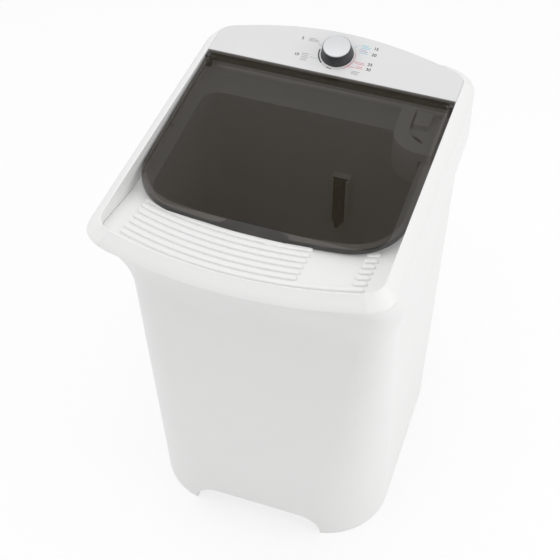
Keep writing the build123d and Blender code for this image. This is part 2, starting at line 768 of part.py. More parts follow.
# Lid: a shallow smoked tray turned over, with a skirt, a finger scoop and two hinge bosses
scoop_front = scoop(LID_WALL / 2)
scoop_back = scoop(LID_WALL * 1.5)
hinge_height = RIM_HEIGHT - HINGE_DROP
hinge_plane = Plane((0, HINGE_Y - HINGE_BACK, hinge_height), x_dir=(0, 1, 0), z_dir=(1, 0, 0))
block_side = OPENING_HALF_WIDTH - SEAM_GAP / 2 - HINGE_BLOCK
lid_outside = lid_block(0, RIM_HEIGHT, lid_bottom)
lid_inside = lid_block(LID_WALL, RIM_HEIGHT - LID_WALL, lid_bottom - LID_WALL)
with BuildPart() as lid_hollow:
    add(lid_inside)
    split(bisect_by=Plane.XZ.offset(LID_BACK + LID_WALL - HINGE_Y), keep=Keep.TOP)
    add(scoop_back, mode=Mode.SUBTRACT)

with BuildPart() as lid:
    add(lid_outside)
    add(lid_hollow.part, mode=Mode.SUBTRACT)
    add(scoop_front, mode=Mode.SUBTRACT)
    for side in (-1, 1):
        with BuildSketch(hinge_plane.offset(side * (block_side - SEAM_GAP))):
            Circle(HINGE_BOSS_RADIUS)
        extrude(amount=-side * HINGE_BLOCK)
        with BuildSketch(hinge_plane.offset(side * (block_side - SEAM_GAP))):
            Circle(HINGE_RADIUS)
        extrude(amount=-side * HINGE_BLOCK, mode=Mode.SUBTRACT)
    with BuildSketch(level(lid_bottom - LID_WALL)):
        for side in (-1, 1):
            with Locations((side * (block_side - SEAM_GAP + HINGE_BLOCK), -HINGE_BACK)):
                Rectangle(2 * HINGE_BLOCK, 4 * HINGE_BLOCK_HALF_WIDTH)
    extrude(amount=2 * LID_DEPTH, mode=Mode.SUBTRACT)

lid.part.label = "lid"
export_step(lid.part, "parts/lid.step")

# Hinge pins, held in the lid's bosses, and the blocks they turn in
pin_inner = block_side - SEAM_GAP - HINGE_BLOCK
pin_outer = block_side + HINGE_BLOCK - LID_WALL
with BuildPart() as hinge_pins:
    for side in (-1, 1):
        with BuildSketch(hinge_plane.offset(side * pin_inner)):
            Circle(HINGE_RADIUS)
        extrude(amount=side * (pin_outer - pin_inner))

hinge_pins.part.label = "hinge_pins"
export_step(hinge_pins.part, "parts/hinge_pins.step")

with BuildPart() as hinge_blocks:
    with BuildSketch(level(SHELF_HEIGHT)):
        for side in (-1, 1):
            with Locations((side * (block_side + HINGE_BLOCK / 2), -HINGE_BACK)):
                Rectangle(HINGE_BLOCK, 2 * HINGE_BLOCK_HALF_WIDTH)
    extrude(amount=SHELF_DROP - LID_WALL)
    with BuildSketch(hinge_plane):
        Circle(HINGE_RADIUS + RUNNING_GAP)
    extrude(amount=OPENING_HALF_WIDTH, both=True, mode=Mode.SUBTRACT)

hinge_blocks.part.label = "hinge_blocks"
export_step(hinge_blocks.part, "parts/hinge_blocks.step")

# Timer under the fascia, its shaft and its nut
with BuildPart() as timer:
    with BuildSketch(dial_plane.offset(-FASCIA_WALL - SEAM_GAP)):
        RectangleRounded(TIMER_WIDTH, TIMER_LENGTH, LEDGE_WALL)
    extrude(amount=-TIMER_DEPTH)
    with BuildSketch(dial_plane.offset(-FASCIA_WALL - SEAM_GAP)):
        Circle(TIMER_BUSH_RADIUS)
    extrude(amount=FASCIA_WALL + SEAM_GAP + TIMER_NUT_HEIGHT)
    with BuildSketch(dial_plane.offset(-TIMER_DEPTH / 2)):
        Circle(TIMER_SHAFT_RADIUS + RUNNING_GAP)
    extrude(amount=TIMER_DEPTH, mode=Mode.SUBTRACT)

timer.part.label = "timer"
export_step(timer.part, "parts/timer.step")

with BuildPart() as timer_shaft:
    with BuildSketch(dial_plane.offset(-TIMER_DEPTH / 2)):
        Circle(TIMER_SHAFT_RADIUS)
    extrude(amount=TIMER_DEPTH / 2 + KNOB_HEIGHT - 2 * KNOB_CAP)
    with BuildSketch(dial_plane.offset(2 * TIMER_NUT_HEIGHT)):
        with Locations((0, TIMER_SHAFT_FLAT + TIMER_SHAFT_RADIUS)):
            Rectangle(2 * TIMER_SHAFT_RADIUS, 2 * TIMER_SHAFT_RADIUS)
    extrude(amount=KNOB_HEIGHT, mode=Mode.SUBTRACT)

timer_shaft.part.label = "timer_shaft"
export_step(timer_shaft.part, "parts/timer_shaft.step")

with BuildPart() as timer_nut:
    with BuildSketch(dial_plane.offset(SEAM_GAP / 2)):
        RegularPolygon(TIMER_NUT_SIZE / 2, 6, major_radius=False)
        Circle(TIMER_BUSH_RADIUS, mode=Mode.SUBTRACT)
    extrude(amount=TIMER_NUT_HEIGHT)

timer_nut.part.label = "timer_nut"
export_step(timer_nut.part, "parts/timer_nut.step")

# Programme knob: a fluted cone on the shaft, with a bright cap on top
knob_top = KNOB_GAP + KNOB_HEIGHT
with BuildPart() as knob:
    with BuildSketch(dial_plane.offset(KNOB_GAP)):
        Circle(KNOB_RADIUS)
    with BuildSketch(dial_plane.offset(knob_top - KNOB_CAP)):
        Circle(KNOB_TOP_RADIUS)
    loft()
    with BuildSketch(dial_plane.offset(KNOB_GAP + KNOB_CAP)):
        with PolarLocations(KNOB_RADIUS + KNOB_GAP, KNOB_FLUTES):
            Circle(KNOB_CAP)
    extrude(amount=KNOB_HEIGHT, mode=Mode.SUBTRACT)
    with BuildSketch(dial_plane.offset(KNOB_GAP)):
        Circle(KNOB_RECESS)
    extrude(amount=2 * TIMER_NUT_HEIGHT - KNOB_GAP, mode=Mode.SUBTRACT)
    add(timer_shaft.part, mode=Mode.SUBTRACT)

knob.part.label = "knob"
export_step(knob.part, "parts/knob.step")

with BuildPart() as knob_cap:
    with BuildSketch(dial_plane.offset(knob_top - KNOB_CAP)):
        Circle(KNOB_CAP_RADIUS)
    extrude(amount=KNOB_CAP)
    chamfer(knob_cap.edges().sort_by(Axis.Z)[-1], KNOB_CAP / 2)

knob_cap.part.label = "knob_cap"
export_step(knob_cap.part, "parts/knob_cap.step")


def cup_block(inset, bottom, top):
    """Plan of the dispenser cup as an upright block, set in by a distance."""
    width = CUP_RIGHT - CUP_LEFT - 2 * inset
    length = CUP_FRONT - CUP_BACK - 2 * inset
    with BuildPart() as block:
        with BuildSketch(level(bottom)):
            with Locations(((CUP_LEFT + CUP_RIGHT) / 2, -(CUP_FRONT + CUP_BACK) / 2)):
                Rectangle(width, length)
            fillet(vertices().group_by(Axis.X)[0].sort_by(Axis.Y)[0], CUP_CORNER - inset)
        extrude(amount=top - bottom)
    return block.part


def cup_pocket(inset, bottom, top):
    """Part of the cup that hangs in the well, kept clear of the well's walls."""
    block = cup_block(inset, bottom, top)
    hollow = well(-CUP_GAP - inset, TUB_FLOOR)
    with BuildPart() as pocket:
        add(block)
        add(hollow, mode=Mode.INTERSECT)
    return pocket.part


# Dispenser cup: a broad rim on the shelf and a deep pocket that hangs in the well
cup_top = SHELF_HEIGHT + CUP_RISE
pocket_outside = cup_pocket(0, cup_top - CUP_DEPTH, SHELF_HEIGHT)
pocket_inside = cup_pocket(CUP_WALL, cup_top - CUP_DEPTH + CUP_WALL, SHELF_HEIGHT + 2 * CUP_WALL)
with BuildPart() as dispenser_cup:
    add(cup_block(0, SHELF_HEIGHT, cup_top))
    add(pocket_outside)
    with BuildSketch(level(SHELF_HEIGHT + CUP_WALL)):
        with Locations(
            ((CUP_LEFT + CUP_BAND + CUP_RIGHT - CUP_WALL) / 2, -(CUP_FRONT - CUP_BAND + CUP_BACK) / 2)
        ):
            Rectangle(CUP_RIGHT - CUP_LEFT - CUP_BAND - CUP_WALL, CUP_FRONT - CUP_BAND - CUP_BACK)
        fillet(vertices().group_by(Axis.X)[0].sort_by(Axis.Y)[0], CUP_CORNER - CUP_BAND / 2)
    extrude(amount=CUP_RISE, mode=Mode.SUBTRACT)
    add(pocket_inside, mode=Mode.SUBTRACT)

dispenser_cup.part.label = "dispenser_cup"
export_step(dispenser_cup.part, "parts/dispenser_cup.step")

with BuildPart() as siphon_cap:
    with BuildSketch(level(SHELF_HEIGHT + CUP_WALL)):
        with Locations((CUP_LEFT + CUP_BAND + SIPHON_WIDTH / 2 + CUP_GAP, -CUP_BACK - SIPHON_LENGTH / 2 - CUP_GAP)):
            RectangleRounded(SIPHON_WIDTH, SIPHON_LENGTH, CUP_GAP)
    extrude(amount=SIPHON_HEIGHT)

siphon_cap.part.label = "siphon_cap"
export_step(siphon_cap.part, "parts/siphon_cap.step")

# Lint filter: a guide on the back wall of the well, and a wedge that slides up out of it
filter_bottom = RIM_HEIGHT - FILTER_TOP_DROP - FILTER_HEIGHT
filter_plane = Plane((FILTER_X, HINGE_Y - FILTER_FACE, filter_bottom))
guide_width = FILTER_WIDTH + 2 * (FILTER_GAP + FILTER_RAIL)
with BuildPart() as filter_guide:
    with BuildSketch(filter_plane):
        with Locations((0, FILTER_FACE / 4)):
            Rectangle(guide_width, FILTER_FACE / 2)
    extrude(amount=FILTER_HEIGHT)
    add(well(0, TUB_FLOOR), mode=Mode.INTERSECT)
    with BuildSketch(filter_plane):
        for side in (-1, 1):
            with Locations((side * (guide_width - FILTER_RAIL) / 2, -FILTER_RAIL)):
                Rectangle(FILTER_RAIL, 2 * FILTER_RAIL)
            with Locations((side * (guide_width / 2 - FILTER_RAIL), -2.5 * FILTER_RAIL)):
                Rectangle(2 * FILTER_RAIL, FILTER_RAIL)
    extrude(amount=FILTER_HEIGHT)

filter_guide.part.label = "filter_guide"
export_step(filter_guide.part, "parts/filter_guide.step")

# The frame is a wedge with a flat back that runs between the rails, and mesh in its slanted faces
back_half = FILTER_WIDTH / 2
neck_half = FILTER_WIDTH / 2 - 2 * FILTER_RAIL - FILTER_GAP
mesh_half = neck_half - FILTER_WALL
rail_inner = FILTER_GAP
rail_outer = 2 * FILTER_RAIL - FILTER_GAP
wedge_start = 3 * FILTER_RAIL + FILTER_GAP
with BuildPart() as filter_frame:
    with BuildSketch(filter_plane.offset(FILTER_GAP)):
        with BuildLine():
            right = Polyline(
                (0, -rail_inner),
                (back_half, -rail_inner),
                (back_half, -rail_outer),
                (neck_half, -rail_outer),
                (neck_half, -wedge_start),
                (FILTER_RAIL, -FILTER_DEPTH),
                (0, -FILTER_DEPTH),
            )
            mirror(about=Plane.YZ)
        make_face()
    extrude(amount=FILTER_HEIGHT - FILTER_GAP)
    with BuildSketch(filter_plane.offset(FILTER_GAP + FILTER_WALL)):
        with BuildLine():
            Polyline(
                (-mesh_half, -FILTER_WALL - rail_inner),
                (-mesh_half, -wedge_start),
                (0, FILTER_WALL - FILTER_DEPTH),
                (mesh_half, -wedge_start),
                (mesh_half, -FILTER_WALL - rail_inner),
                close=True,
            )
        make_face()
    extrude(amount=FILTER_HEIGHT - FILTER_GAP - 2 * FILTER_WALL, mode=Mode.SUBTRACT)
    # Windows through the slanted faces, three on each side, above one another
    window_height = (FILTER_HEIGHT - FILTER_GAP - 6 * FILTER_WALL) / 3
    for row in range(3):
        window_bottom = FILTER_GAP + 2 * FILTER_WALL + row * (window_height + FILTER_WALL)
        with BuildSketch(filter_plane.offset(window_bottom)):
            with Locations((0, -(wedge_start + FILTER_DEPTH - FILTER_WALL) / 2)):
                Rectangle(FILTER_WIDTH, FILTER_DEPTH - FILTER_WALL - wedge_start - FILTER_WALL)
        extrude(amount=window_height, mode=Mode.SUBTRACT)

filter_frame.part.label = "filter_frame"
export_step(filter_frame.part, "parts/filter_frame.step")

# Fine mesh folded behind the windows
with BuildPart() as filter_mesh:
    with BuildSketch(filter_plane.offset(FILTER_GAP + FILTER_WALL)):
        with BuildLine():
            Polyline(
                (-mesh_half, -wedge_start),
                (0, FILTER_WALL - FILTER_DEPTH),
                (mesh_half, -wedge_start),
                (mesh_half, MESH_THICKNESS - wedge_start),
                (0, FILTER_WALL + MESH_THICKNESS - FILTER_DEPTH),
                (-mesh_half, MESH_THICKNESS - wedge_start),
                close=True,
            )
        make_face()
    extrude(amount=FILTER_HEIGHT - FILTER_GAP - 2 * FILTER_WALL)

filter_mesh.part.label = "filter_mesh"
export_step(filter_mesh.part, "parts/filter_mesh.step")

# Pulsator: a low cone with vanes and rinse holes
pulsator_bottom = TUB_FLOOR + AGITATOR_GAP
pulsator_top = pulsator_bottom + AGITATOR_HEIGHT
pulsator_skin = 4
vane_width = 9
vane_inner = 26
with BuildPart() as pulsator:
    with BuildSketch(Plane((0, AGITATOR_Y, pulsator_bottom), x_dir=(1, 0, 0), z_dir=(0, -1, 0))):
        with BuildLine():
            Polyline(
                (SHAFT_RADIUS, pulsator_skin),
                (2 * SHAFT_RADIUS, pulsator_skin),
                (2 * SHAFT_RADIUS, AGITATOR_HEIGHT - 2 * pulsator_skin),
                (vane_inner - pulsator_skin, AGITATOR_HEIGHT - 2 * pulsator_skin),
                (AGITATOR_RADIUS - pulsator_skin, pulsator_skin / 2),
                (AGITATOR_RADIUS - pulsator_skin, 0),
                (AGITATOR_RADIUS, 0),
                (AGITATOR_RADIUS, pulsator_skin + pulsator_skin / 2),
                (vane_inner, AGITATOR_HEIGHT),
                (SHAFT_RADIUS, AGITATOR_HEIGHT),
                close=True,
            )
        make_face()
    revolve(axis=Axis((0, AGITATOR_Y, 0), (0, 0, 1)))
    with BuildSketch(Plane((0, AGITATOR_Y, pulsator_bottom + pulsator_skin))):
        with PolarLocations((AGITATOR_RADIUS + vane_inner) / 2, AGITATOR_VANES):
            RectangleRounded(AGITATOR_RADIUS - vane_inner - pulsator_skin, vane_width, pulsator_skin)
    extrude(amount=AGITATOR_HEIGHT - 2 * pulsator_skin)
    with BuildSketch(Plane((0, AGITATOR_Y, pulsator_bottom))):
        with PolarLocations(AGITATOR_HOLE_RING, AGITATOR_HOLES, start_angle=AGITATOR_HOLE_TURN):
            Circle(BOLT_RADIUS)
    extrude(amount=AGITATOR_HEIGHT, mode=Mode.SUBTRACT)

pulsator.part.label = "pulsator"
export_step(pulsator.part, "parts/pulsator.step")

# Bolt and cap on top of the pulsator
bolt_head_radius = 8
bolt_head = 4
bolt_length = 18
with BuildPart() as pulsator_bolt:
    with BuildSketch(agitator_axis.offset(pulsator_top)):
        Circle(bolt_head_radius)
    extrude(amount=bolt_head)
    with BuildSketch(agitator_axis.offset(pulsator_top)):
        Circle(BOLT_RADIUS)
    extrude(amount=-bolt_length)

pulsator_bolt.part.label = "pulsator_bolt"
export_step(pulsator_bolt.part, "parts/pulsator_bolt.step")

cap_wall = 2
with BuildPart() as pulsator_cap:
    with BuildSketch(agitator_axis.offset(pulsator_top)):
        Circle(vane_inner - cap_wall)
    with BuildSketch(agitator_axis.offset(pulsator_top + bolt_head + 2 * cap_wall)):
        Circle(bolt_head_radius)
    loft()
    with BuildSketch(agitator_axis.offset(pulsator_top)):
        Circle(bolt_head_radius)
    extrude(amount=bolt_head, mode=Mode.SUBTRACT)

pulsator_cap.part.label = "pulsator_cap"
export_step(pulsator_cap.part, "parts/pulsator_cap.step")

# Drive shaft from the driven pulley up through the tub floor
nut_height = 8
nut_size = 19
with BuildPart() as drive_shaft:
    with BuildSketch(agitator_axis.offset(PULLEY_BOTTOM - nut_height)):
        Circle(SHAFT_RADIUS)
    extrude(amount=pulsator_top - PULLEY_BOTTOM + nut_height)
    with BuildSketch(agitator_axis.offset(pulsator_top)):
        Circle(BOLT_RADIUS)
    extrude(amount=-bolt_length, mode=Mode.SUBTRACT)

drive_shaft.part.label = "drive_shaft"
export_step(drive_shaft.part, "parts/drive_shaft.step")

# Bearing housing with its seal, bushes and bolts
seal_bottom = BOSS_HEIGHT - TUB_BOSS - TUB_WALL
upper_bush = seal_bottom - BUSH_LENGTH
with BuildPart() as bearing_housing:
    with BuildSketch(agitator_axis.offset(HOUSING_BOTTOM)):
        Circle(HOUSING_RADIUS)
    extrude(amount=HOUSING_LENGTH)
    with BuildSketch(agitator_axis.offset(BOSS_HEIGHT - HOUSING_FLANGE)):
        Circle(HOUSING_FLANGE_RADIUS)
        with PolarLocations(HOUSING_BOLT_CIRCLE, 4, start_angle=45):
            Circle(BOLT_RADIUS, mode=Mode.SUBTRACT)
    extrude(amount=HOUSING_FLANGE)
    with BuildSketch(agitator_axis.offset(HOUSING_BOTTOM)):
        Circle(BUSH_RADIUS)
    extrude(amount=HOUSING_LENGTH + HOUSING_FLANGE, mode=Mode.SUBTRACT)
    with BuildSketch(agitator_axis.offset(seal_bottom)):
        Circle(SEAL_RADIUS)
    extrude(amount=BOSS_HEIGHT - seal_bottom, mode=Mode.SUBTRACT)

bearing_housing.part.label = "bearing_housing"
export_step(bearing_housing.part, "parts/bearing_housing.step")

shaft_hole = SHAFT_RADIUS + RUNNING_GAP
shaft_seal = tube(agitator_axis, SEAL_RADIUS, shaft_hole, seal_bottom, TUB_FLOOR)
shaft_seal.label = "shaft_seal"
export_step(shaft_seal, "parts/shaft_seal.step")

upper_bearing = tube(agitator_axis, BUSH_RADIUS, shaft_hole, upper_bush, upper_bush + BUSH_LENGTH)
upper_bearing.label = "upper_bearing"
export_step(upper_bearing, "parts/upper_bearing.step")

lower_bearing = tube(agitator_axis, BUSH_RADIUS, shaft_hole, HOUSING_BOTTOM, HOUSING_BOTTOM + BUSH_LENGTH)
lower_bearing.label = "lower_bearing"
export_step(lower_bearing, "parts/lower_bearing.step")

housing_bolt_head = 5
housing_bolt_head_radius = 5
with BuildPart() as housing_bolts:
    with BuildSketch(agitator_axis.offset(BOSS_HEIGHT - HOUSING_FLANGE)):
        with PolarLocations(HOUSING_BOLT_CIRCLE, 4, start_angle=45):
            Circle(BOLT_RADIUS)
    extrude(amount=HOUSING_FLANGE + TUB_BOSS)
    with BuildSketch(agitator_axis.offset(BOSS_HEIGHT - HOUSING_FLANGE)):
        with PolarLocations(HOUSING_BOLT_CIRCLE, 4, start_angle=45):
            RegularPolygon(housing_bolt_head_radius, 6)
    extrude(amount=-housing_bolt_head)

housing_bolts.part.label = "housing_bolts"
export_step(housing_bolts.part, "parts/housing_bolts.step")


def pulley(plane, bore, hub, groove, rim):
    """V-belt pulley on an axis, with its hub above the groove's rim."""
    half_groove = BELT_WIDTH / 2 + BELT_GAP
    middle = PULLEY_WIDTH / 2
    with BuildPart() as wheel:
        origin = plane.origin + Vector(0, 0, PULLEY_BOTTOM)
        with BuildSketch(Plane(origin, x_dir=(1, 0, 0), z_dir=(0, -1, 0))):
            with BuildLine():
                Polyline(
                    (bore, 0),
                    (rim, 0),
                    (rim, middle - half_groove - BELT_GAP),
                    (groove, middle - half_groove),
                    (groove, middle + half_groove),
                    (rim, middle + half_groove + BELT_GAP),
                    (rim, PULLEY_WIDTH),
                    (hub, PULLEY_WIDTH),
                    (bore, PULLEY_WIDTH),
                    close=True,
                )
            make_face()
        revolve(axis=Axis(origin, (0, 0, 1)))
    return wheel.part


# Driven pulley with a thin web and round lightening holes
driven_hub = 16
driven_web = 5
rim_depth = 12
web_hole = 13
with BuildPart() as driven_pulley:
    add(pulley(agitator_axis, SHAFT_RADIUS, driven_hub, PULLEY_GROOVE_RADIUS, PULLEY_RADIUS))
    for bottom, height in ((PULLEY_BOTTOM, driven_web), (PULLEY_TOP - driven_web, driven_web)):
        with BuildSketch(agitator_axis.offset(bottom)):
            Circle(PULLEY_GROOVE_RADIUS - rim_depth)
            Circle(driven_hub, mode=Mode.SUBTRACT)
        extrude(amount=height, mode=Mode.SUBTRACT)
    with BuildSketch(agitator_axis.offset(PULLEY_BOTTOM)):
        with PolarLocations((driven_hub + PULLEY_GROOVE_RADIUS - rim_depth) / 2, WEB_HOLES):
            Circle(web_hole)
    extrude(amount=PULLEY_WIDTH, mode=Mode.SUBTRACT)

driven_pulley.part.label = "driven_pulley"
export_step(driven_pulley.part, "parts/driven_pulley.step")

with BuildPart() as pulley_nut:
    with BuildSketch(agitator_axis.offset(PULLEY_BOTTOM - nut_height)):
        RegularPolygon(nut_size / 2, 6, major_radius=False)
        Circle(SHAFT_RADIUS, mode=Mode.SUBTRACT)
    extrude(amount=nut_height)

pulley_nut.part.label = "pulley_nut"
export_step(pulley_nut.part, "parts/pulley_nut.step")

motor_pulley = pulley(
    motor_axis, MOTOR_SHAFT_RADIUS, MOTOR_GROOVE_RADIUS, MOTOR_GROOVE_RADIUS, MOTOR_PULLEY_RADIUS
)
motor_pulley.label = "motor_pulley"
export_step(motor_pulley, "parts/motor_pulley.step")

# Belt round both pulleys
with BuildPart() as drive_belt:
    with BuildSketch(agitator_axis.offset(PULLEY_BOTTOM + (PULLEY_WIDTH - BELT_WIDTH) / 2)):
        Circle(PULLEY_GROOVE_RADIUS + BELT_GAP + BELT_THICKNESS)
        with Locations((MOTOR_SPACING, 0)):
            Circle(MOTOR_GROOVE_RADIUS + BELT_GAP + BELT_THICKNESS)
        make_hull()
    extrude(amount=BELT_WIDTH)
    with BuildSketch(agitator_axis.offset(PULLEY_BOTTOM + (PULLEY_WIDTH - BELT_WIDTH) / 2)):
        Circle(PULLEY_GROOVE_RADIUS + BELT_GAP)
        with Locations((MOTOR_SPACING, 0)):
            Circle(MOTOR_GROOVE_RADIUS + BELT_GAP)
        make_hull()
    extrude(amount=BELT_WIDTH, mode=Mode.SUBTRACT)

drive_belt.part.label = "drive_belt"
export_step(drive_belt.part, "parts/drive_belt.step")

# Motor: core between two shields, rotor, shaft, bearings and cooling fan
core_bottom = MOTOR_BOTTOM + MOTOR_SHIELD
core_top = core_bottom + MOTOR_CORE
shield_wall = 3
motor_bolt_place = MOTOR_BOLT_SPACING / 2
motor_bolt_radius = 2.5
with BuildPart() as motor_stator:
    with BuildSketch(motor_axis.offset(core_bottom)):
        Circle(MOTOR_RADIUS)
        Circle(ROTOR_RADIUS + ROTOR_GAP, mode=Mode.SUBTRACT)
    extrude(amount=MOTOR_CORE)

motor_stator.part.label = "motor_stator"
export_step(motor_stator.part, "parts/motor_stator.step")


def shield(outer_face, inner_face):
    """Cup-shaped end shield with a bearing seat and a hole for the shaft."""
    inward = 1 if inner_face > outer_face else -1
    with BuildPart() as cup:
        with BuildSketch(motor_axis.offset(outer_face)):
            Circle(MOTOR_RADIUS)
            Circle(MOTOR_SHAFT_RADIUS + ROTOR_GAP, mode=Mode.SUBTRACT)
        extrude(amount=inner_face - outer_face)
        with BuildSketch(motor_axis.offset(outer_face + inward * shield_wall)):
            Circle(MOTOR_RADIUS - shield_wall)
            Circle(MOTOR_BEARING_RADIUS + shield_wall, mode=Mode.SUBTRACT)
        extrude(amount=inner_face - outer_face - inward * shield_wall, mode=Mode.SUBTRACT)
        with BuildSketch(motor_axis.offset(outer_face + inward * shield_wall)):
            Circle(MOTOR_BEARING_RADIUS)
        extrude(amount=inner_face - outer_face - inward * shield_wall, mode=Mode.SUBTRACT)
        if inward < 0:
            with BuildSketch(motor_axis.offset(outer_face)):
                with GridLocations(2 * motor_bolt_place, 2 * motor_bolt_place, 2, 2):
                    Circle(motor_bolt_radius)
            extrude(amount=-shield_wall, mode=Mode.SUBTRACT)
    return cup.part


upper_shield = shield(MOTOR_PLATE_HEIGHT, core_top)
upper_shield.label = "upper_shield"
export_step(upper_shield, "parts/upper_shield.step")

lower_shield = shield(MOTOR_BOTTOM, core_bottom)
lower_shield.label = "lower_shield"
export_step(lower_shield, "parts/lower_shield.step")

bearing_bore = MOTOR_SHAFT_RADIUS + RUNNING_GAP
bearing_seat = MOTOR_PLATE_HEIGHT - shield_wall - MOTOR_BEARING_WIDTH
upper_race = tube(motor_axis, MOTOR_BEARING_RADIUS, bearing_bore, bearing_seat, bearing_seat + MOTOR_BEARING_WIDTH)
lower_seat = MOTOR_BOTTOM + shield_wall
lower_race = tube(motor_axis, MOTOR_BEARING_RADIUS, bearing_bore, lower_seat, lower_seat + MOTOR_BEARING_WIDTH)
motor_bearings = Compound(children=[upper_race, lower_race])
motor_bearings.label = "motor_bearings"
export_step(motor_bearings, "parts/motor_bearings.step")

motor_rotor = tube(motor_axis, ROTOR_RADIUS, MOTOR_SHAFT_RADIUS, core_bottom, core_top)
motor_rotor.label = "motor_rotor"
export_step(motor_rotor, "parts/motor_rotor.step")

with BuildPart() as motor_shaft:
    with BuildSketch(motor_axis.offset(PULLEY_BOTTOM)):
        Circle(MOTOR_SHAFT_RADIUS)
    extrude(amount=bearing_seat + MOTOR_BEARING_WIDTH - PULLEY_BOTTOM)

motor_shaft.part.label = "motor_shaft"
export_step(motor_shaft.part, "parts/motor_shaft.step")

fan_blade = 2
with BuildPart() as motor_fan:
    with BuildSketch(motor_axis.offset(PULLEY_TOP)):
        Circle(FAN_RADIUS)
        Circle(MOTOR_SHAFT_RADIUS, mode=Mode.SUBTRACT)
    extrude(amount=fan_blade)
    with BuildSketch(motor_axis.offset(PULLEY_TOP + fan_blade)):
        with PolarLocations((FAN_RADIUS + MOTOR_GROOVE_RADIUS) / 2, FAN_BLADES):
            Rectangle(FAN_RADIUS - MOTOR_GROOVE_RADIUS, fan_blade)
    extrude(amount=FAN_HEIGHT - fan_blade)

motor_fan.part.label = "motor_fan"
export_step(motor_fan.part, "parts/motor_fan.step")

# Motor plate hung under the tub on rubber dampers
with BuildPart() as motor_plate:
    with BuildSketch(motor_axis.offset(MOTOR_PLATE_HEIGHT)):
        RectangleRounded(MOTOR_PLATE_WIDTH, MOTOR_PLATE_LENGTH, DAMPER_RADIUS)
        with GridLocations(DAMPER_SPACING_X, DAMPER_SPACING_Y, 2, 2):
            Circle(BOLT_RADIUS, mode=Mode.SUBTRACT)
        with GridLocations(2 * motor_bolt_place, 2 * motor_bolt_place, 2, 2):
            Circle(motor_bolt_radius, mode=Mode.SUBTRACT)
    extrude(amount=MOTOR_PLATE)

motor_plate.part.label = "motor_plate"
export_step(motor_plate.part, "parts/motor_plate.step")

with BuildPart() as motor_bolts:
    with BuildSketch(motor_axis.offset(MOTOR_PLATE_HEIGHT - shield_wall)):
        with GridLocations(2 * motor_bolt_place, 2 * motor_bolt_place, 2, 2):
            Circle(motor_bolt_radius)
    extrude(amount=shield_wall + MOTOR_PLATE)
    with BuildSketch(motor_axis.offset(MOTOR_PLATE_HEIGHT + MOTOR_PLATE)):
        with GridLocations(2 * motor_bolt_place, 2 * motor_bolt_place, 2, 2):
            RegularPolygon(2 * motor_bolt_radius, 6)
    extrude(amount=motor_bolt_radius)

motor_bolts.part.label = "motor_bolts"
export_step(motor_bolts.part, "parts/motor_bolts.step")

with BuildPart() as motor_dampers:
    with BuildSketch(motor_axis.offset(MOTOR_PLATE_HEIGHT + MOTOR_PLATE)):
        with GridLocations(DAMPER_SPACING_X, DAMPER_SPACING_Y, 2, 2):
            Circle(DAMPER_RADIUS)
            Circle(BOLT_RADIUS, mode=Mode.SUBTRACT)
    extrude(amount=DAMPER_HEIGHT)

motor_dampers.part.label = "motor_dampers"
export_step(motor_dampers.part, "parts/motor_dampers.step")

with BuildPart() as mount_bolts:
    with BuildSketch(motor_axis.offset(MOTOR_PLATE_HEIGHT)):
        with GridLocations(DAMPER_SPACING_X, DAMPER_SPACING_Y, 2, 2):
            Circle(BOLT_RADIUS)
    extrude(amount=MOTOR_PLATE + DAMPER_HEIGHT + TUB_BOSS)
    with BuildSketch(motor_axis.offset(MOTOR_PLATE_HEIGHT)):
        with GridLocations(DAMPER_SPACING_X, DAMPER_SPACING_Y, 2, 2):
            RegularPolygon(2 * BOLT_RADIUS, 6)
    extrude(amount=-housing_bolt_head)

mount_bolts.part.label = "mount_bolts"
export_step(mount_bolts.part, "parts/mount_bolts.step")

# Drain: an elbow under the tub, a straight hose and an outlet in the back wall
drain_y = AGITATOR_Y
elbow_end = drain_y + ELBOW_REACH
outlet_start = HINGE_Y + BACK_REACH - OUTLET_LENGTH
drain_axis = Plane((DRAIN_X, 0, DRAIN_HEIGHT), x_dir=(-1, 0, 0), z_dir=(0, 1, 0))
with BuildPart() as drain_elbow:
    with BuildLine():
        bend = FilletPolyline(
            (DRAIN_X, drain_y, TUB_FLOOR - TUB_WALL),
            (DRAIN_X, drain_y, DRAIN_HEIGHT),
            (DRAIN_X, elbow_end, DRAIN_HEIGHT),
            radius=ELBOW_BEND,
        )
    with BuildSketch(Plane((DRAIN_X, drain_y, TUB_FLOOR - TUB_WALL), z_dir=(0, 0, -1))):
        Circle(PIPE_RADIUS)
        Circle(PIPE_RADIUS - PIPE_WALL, mode=Mode.SUBTRACT)
    sweep()
    with BuildSketch(Plane((DRAIN_X, drain_y, TUB_FLOOR - TUB_WALL), z_dir=(0, 0, -1))):
        Circle(PIPE_RADIUS + 2 * PIPE_WALL)
        Circle(PIPE_RADIUS - PIPE_WALL, mode=Mode.SUBTRACT)
    extrude(amount=PIPE_WALL)

drain_elbow.part.label = "drain_elbow"
export_step(drain_elbow.part, "parts/drain_elbow.step")

hose_start = elbow_end - HOSE_OVERLAP
hose_end = outlet_start + HOSE_OVERLAP
drain_hose = tube(drain_axis, PIPE_RADIUS + PIPE_WALL, PIPE_RADIUS, hose_start, hose_end)
drain_hose.label = "drain_hose"
export_step(drain_hose, "parts/drain_hose.step")

clip_inner = PIPE_RADIUS + PIPE_WALL
clip_outer = clip_inner + CLIP_WALL
clip_inset = (HOSE_OVERLAP - CLIP_WIDTH) / 2
front_clip = tube(drain_axis, clip_outer, clip_inner, hose_start + clip_inset, hose_start + clip_inset + CLIP_WIDTH)
back_clip = tube(drain_axis, clip_outer, clip_inner, hose_end - clip_inset - CLIP_WIDTH, hose_end - clip_inset)
hose_clips = Compound(children=[front_clip, back_clip])
hose_clips.label = "hose_clips"
export_step(hose_clips, "parts/hose_clips.step")

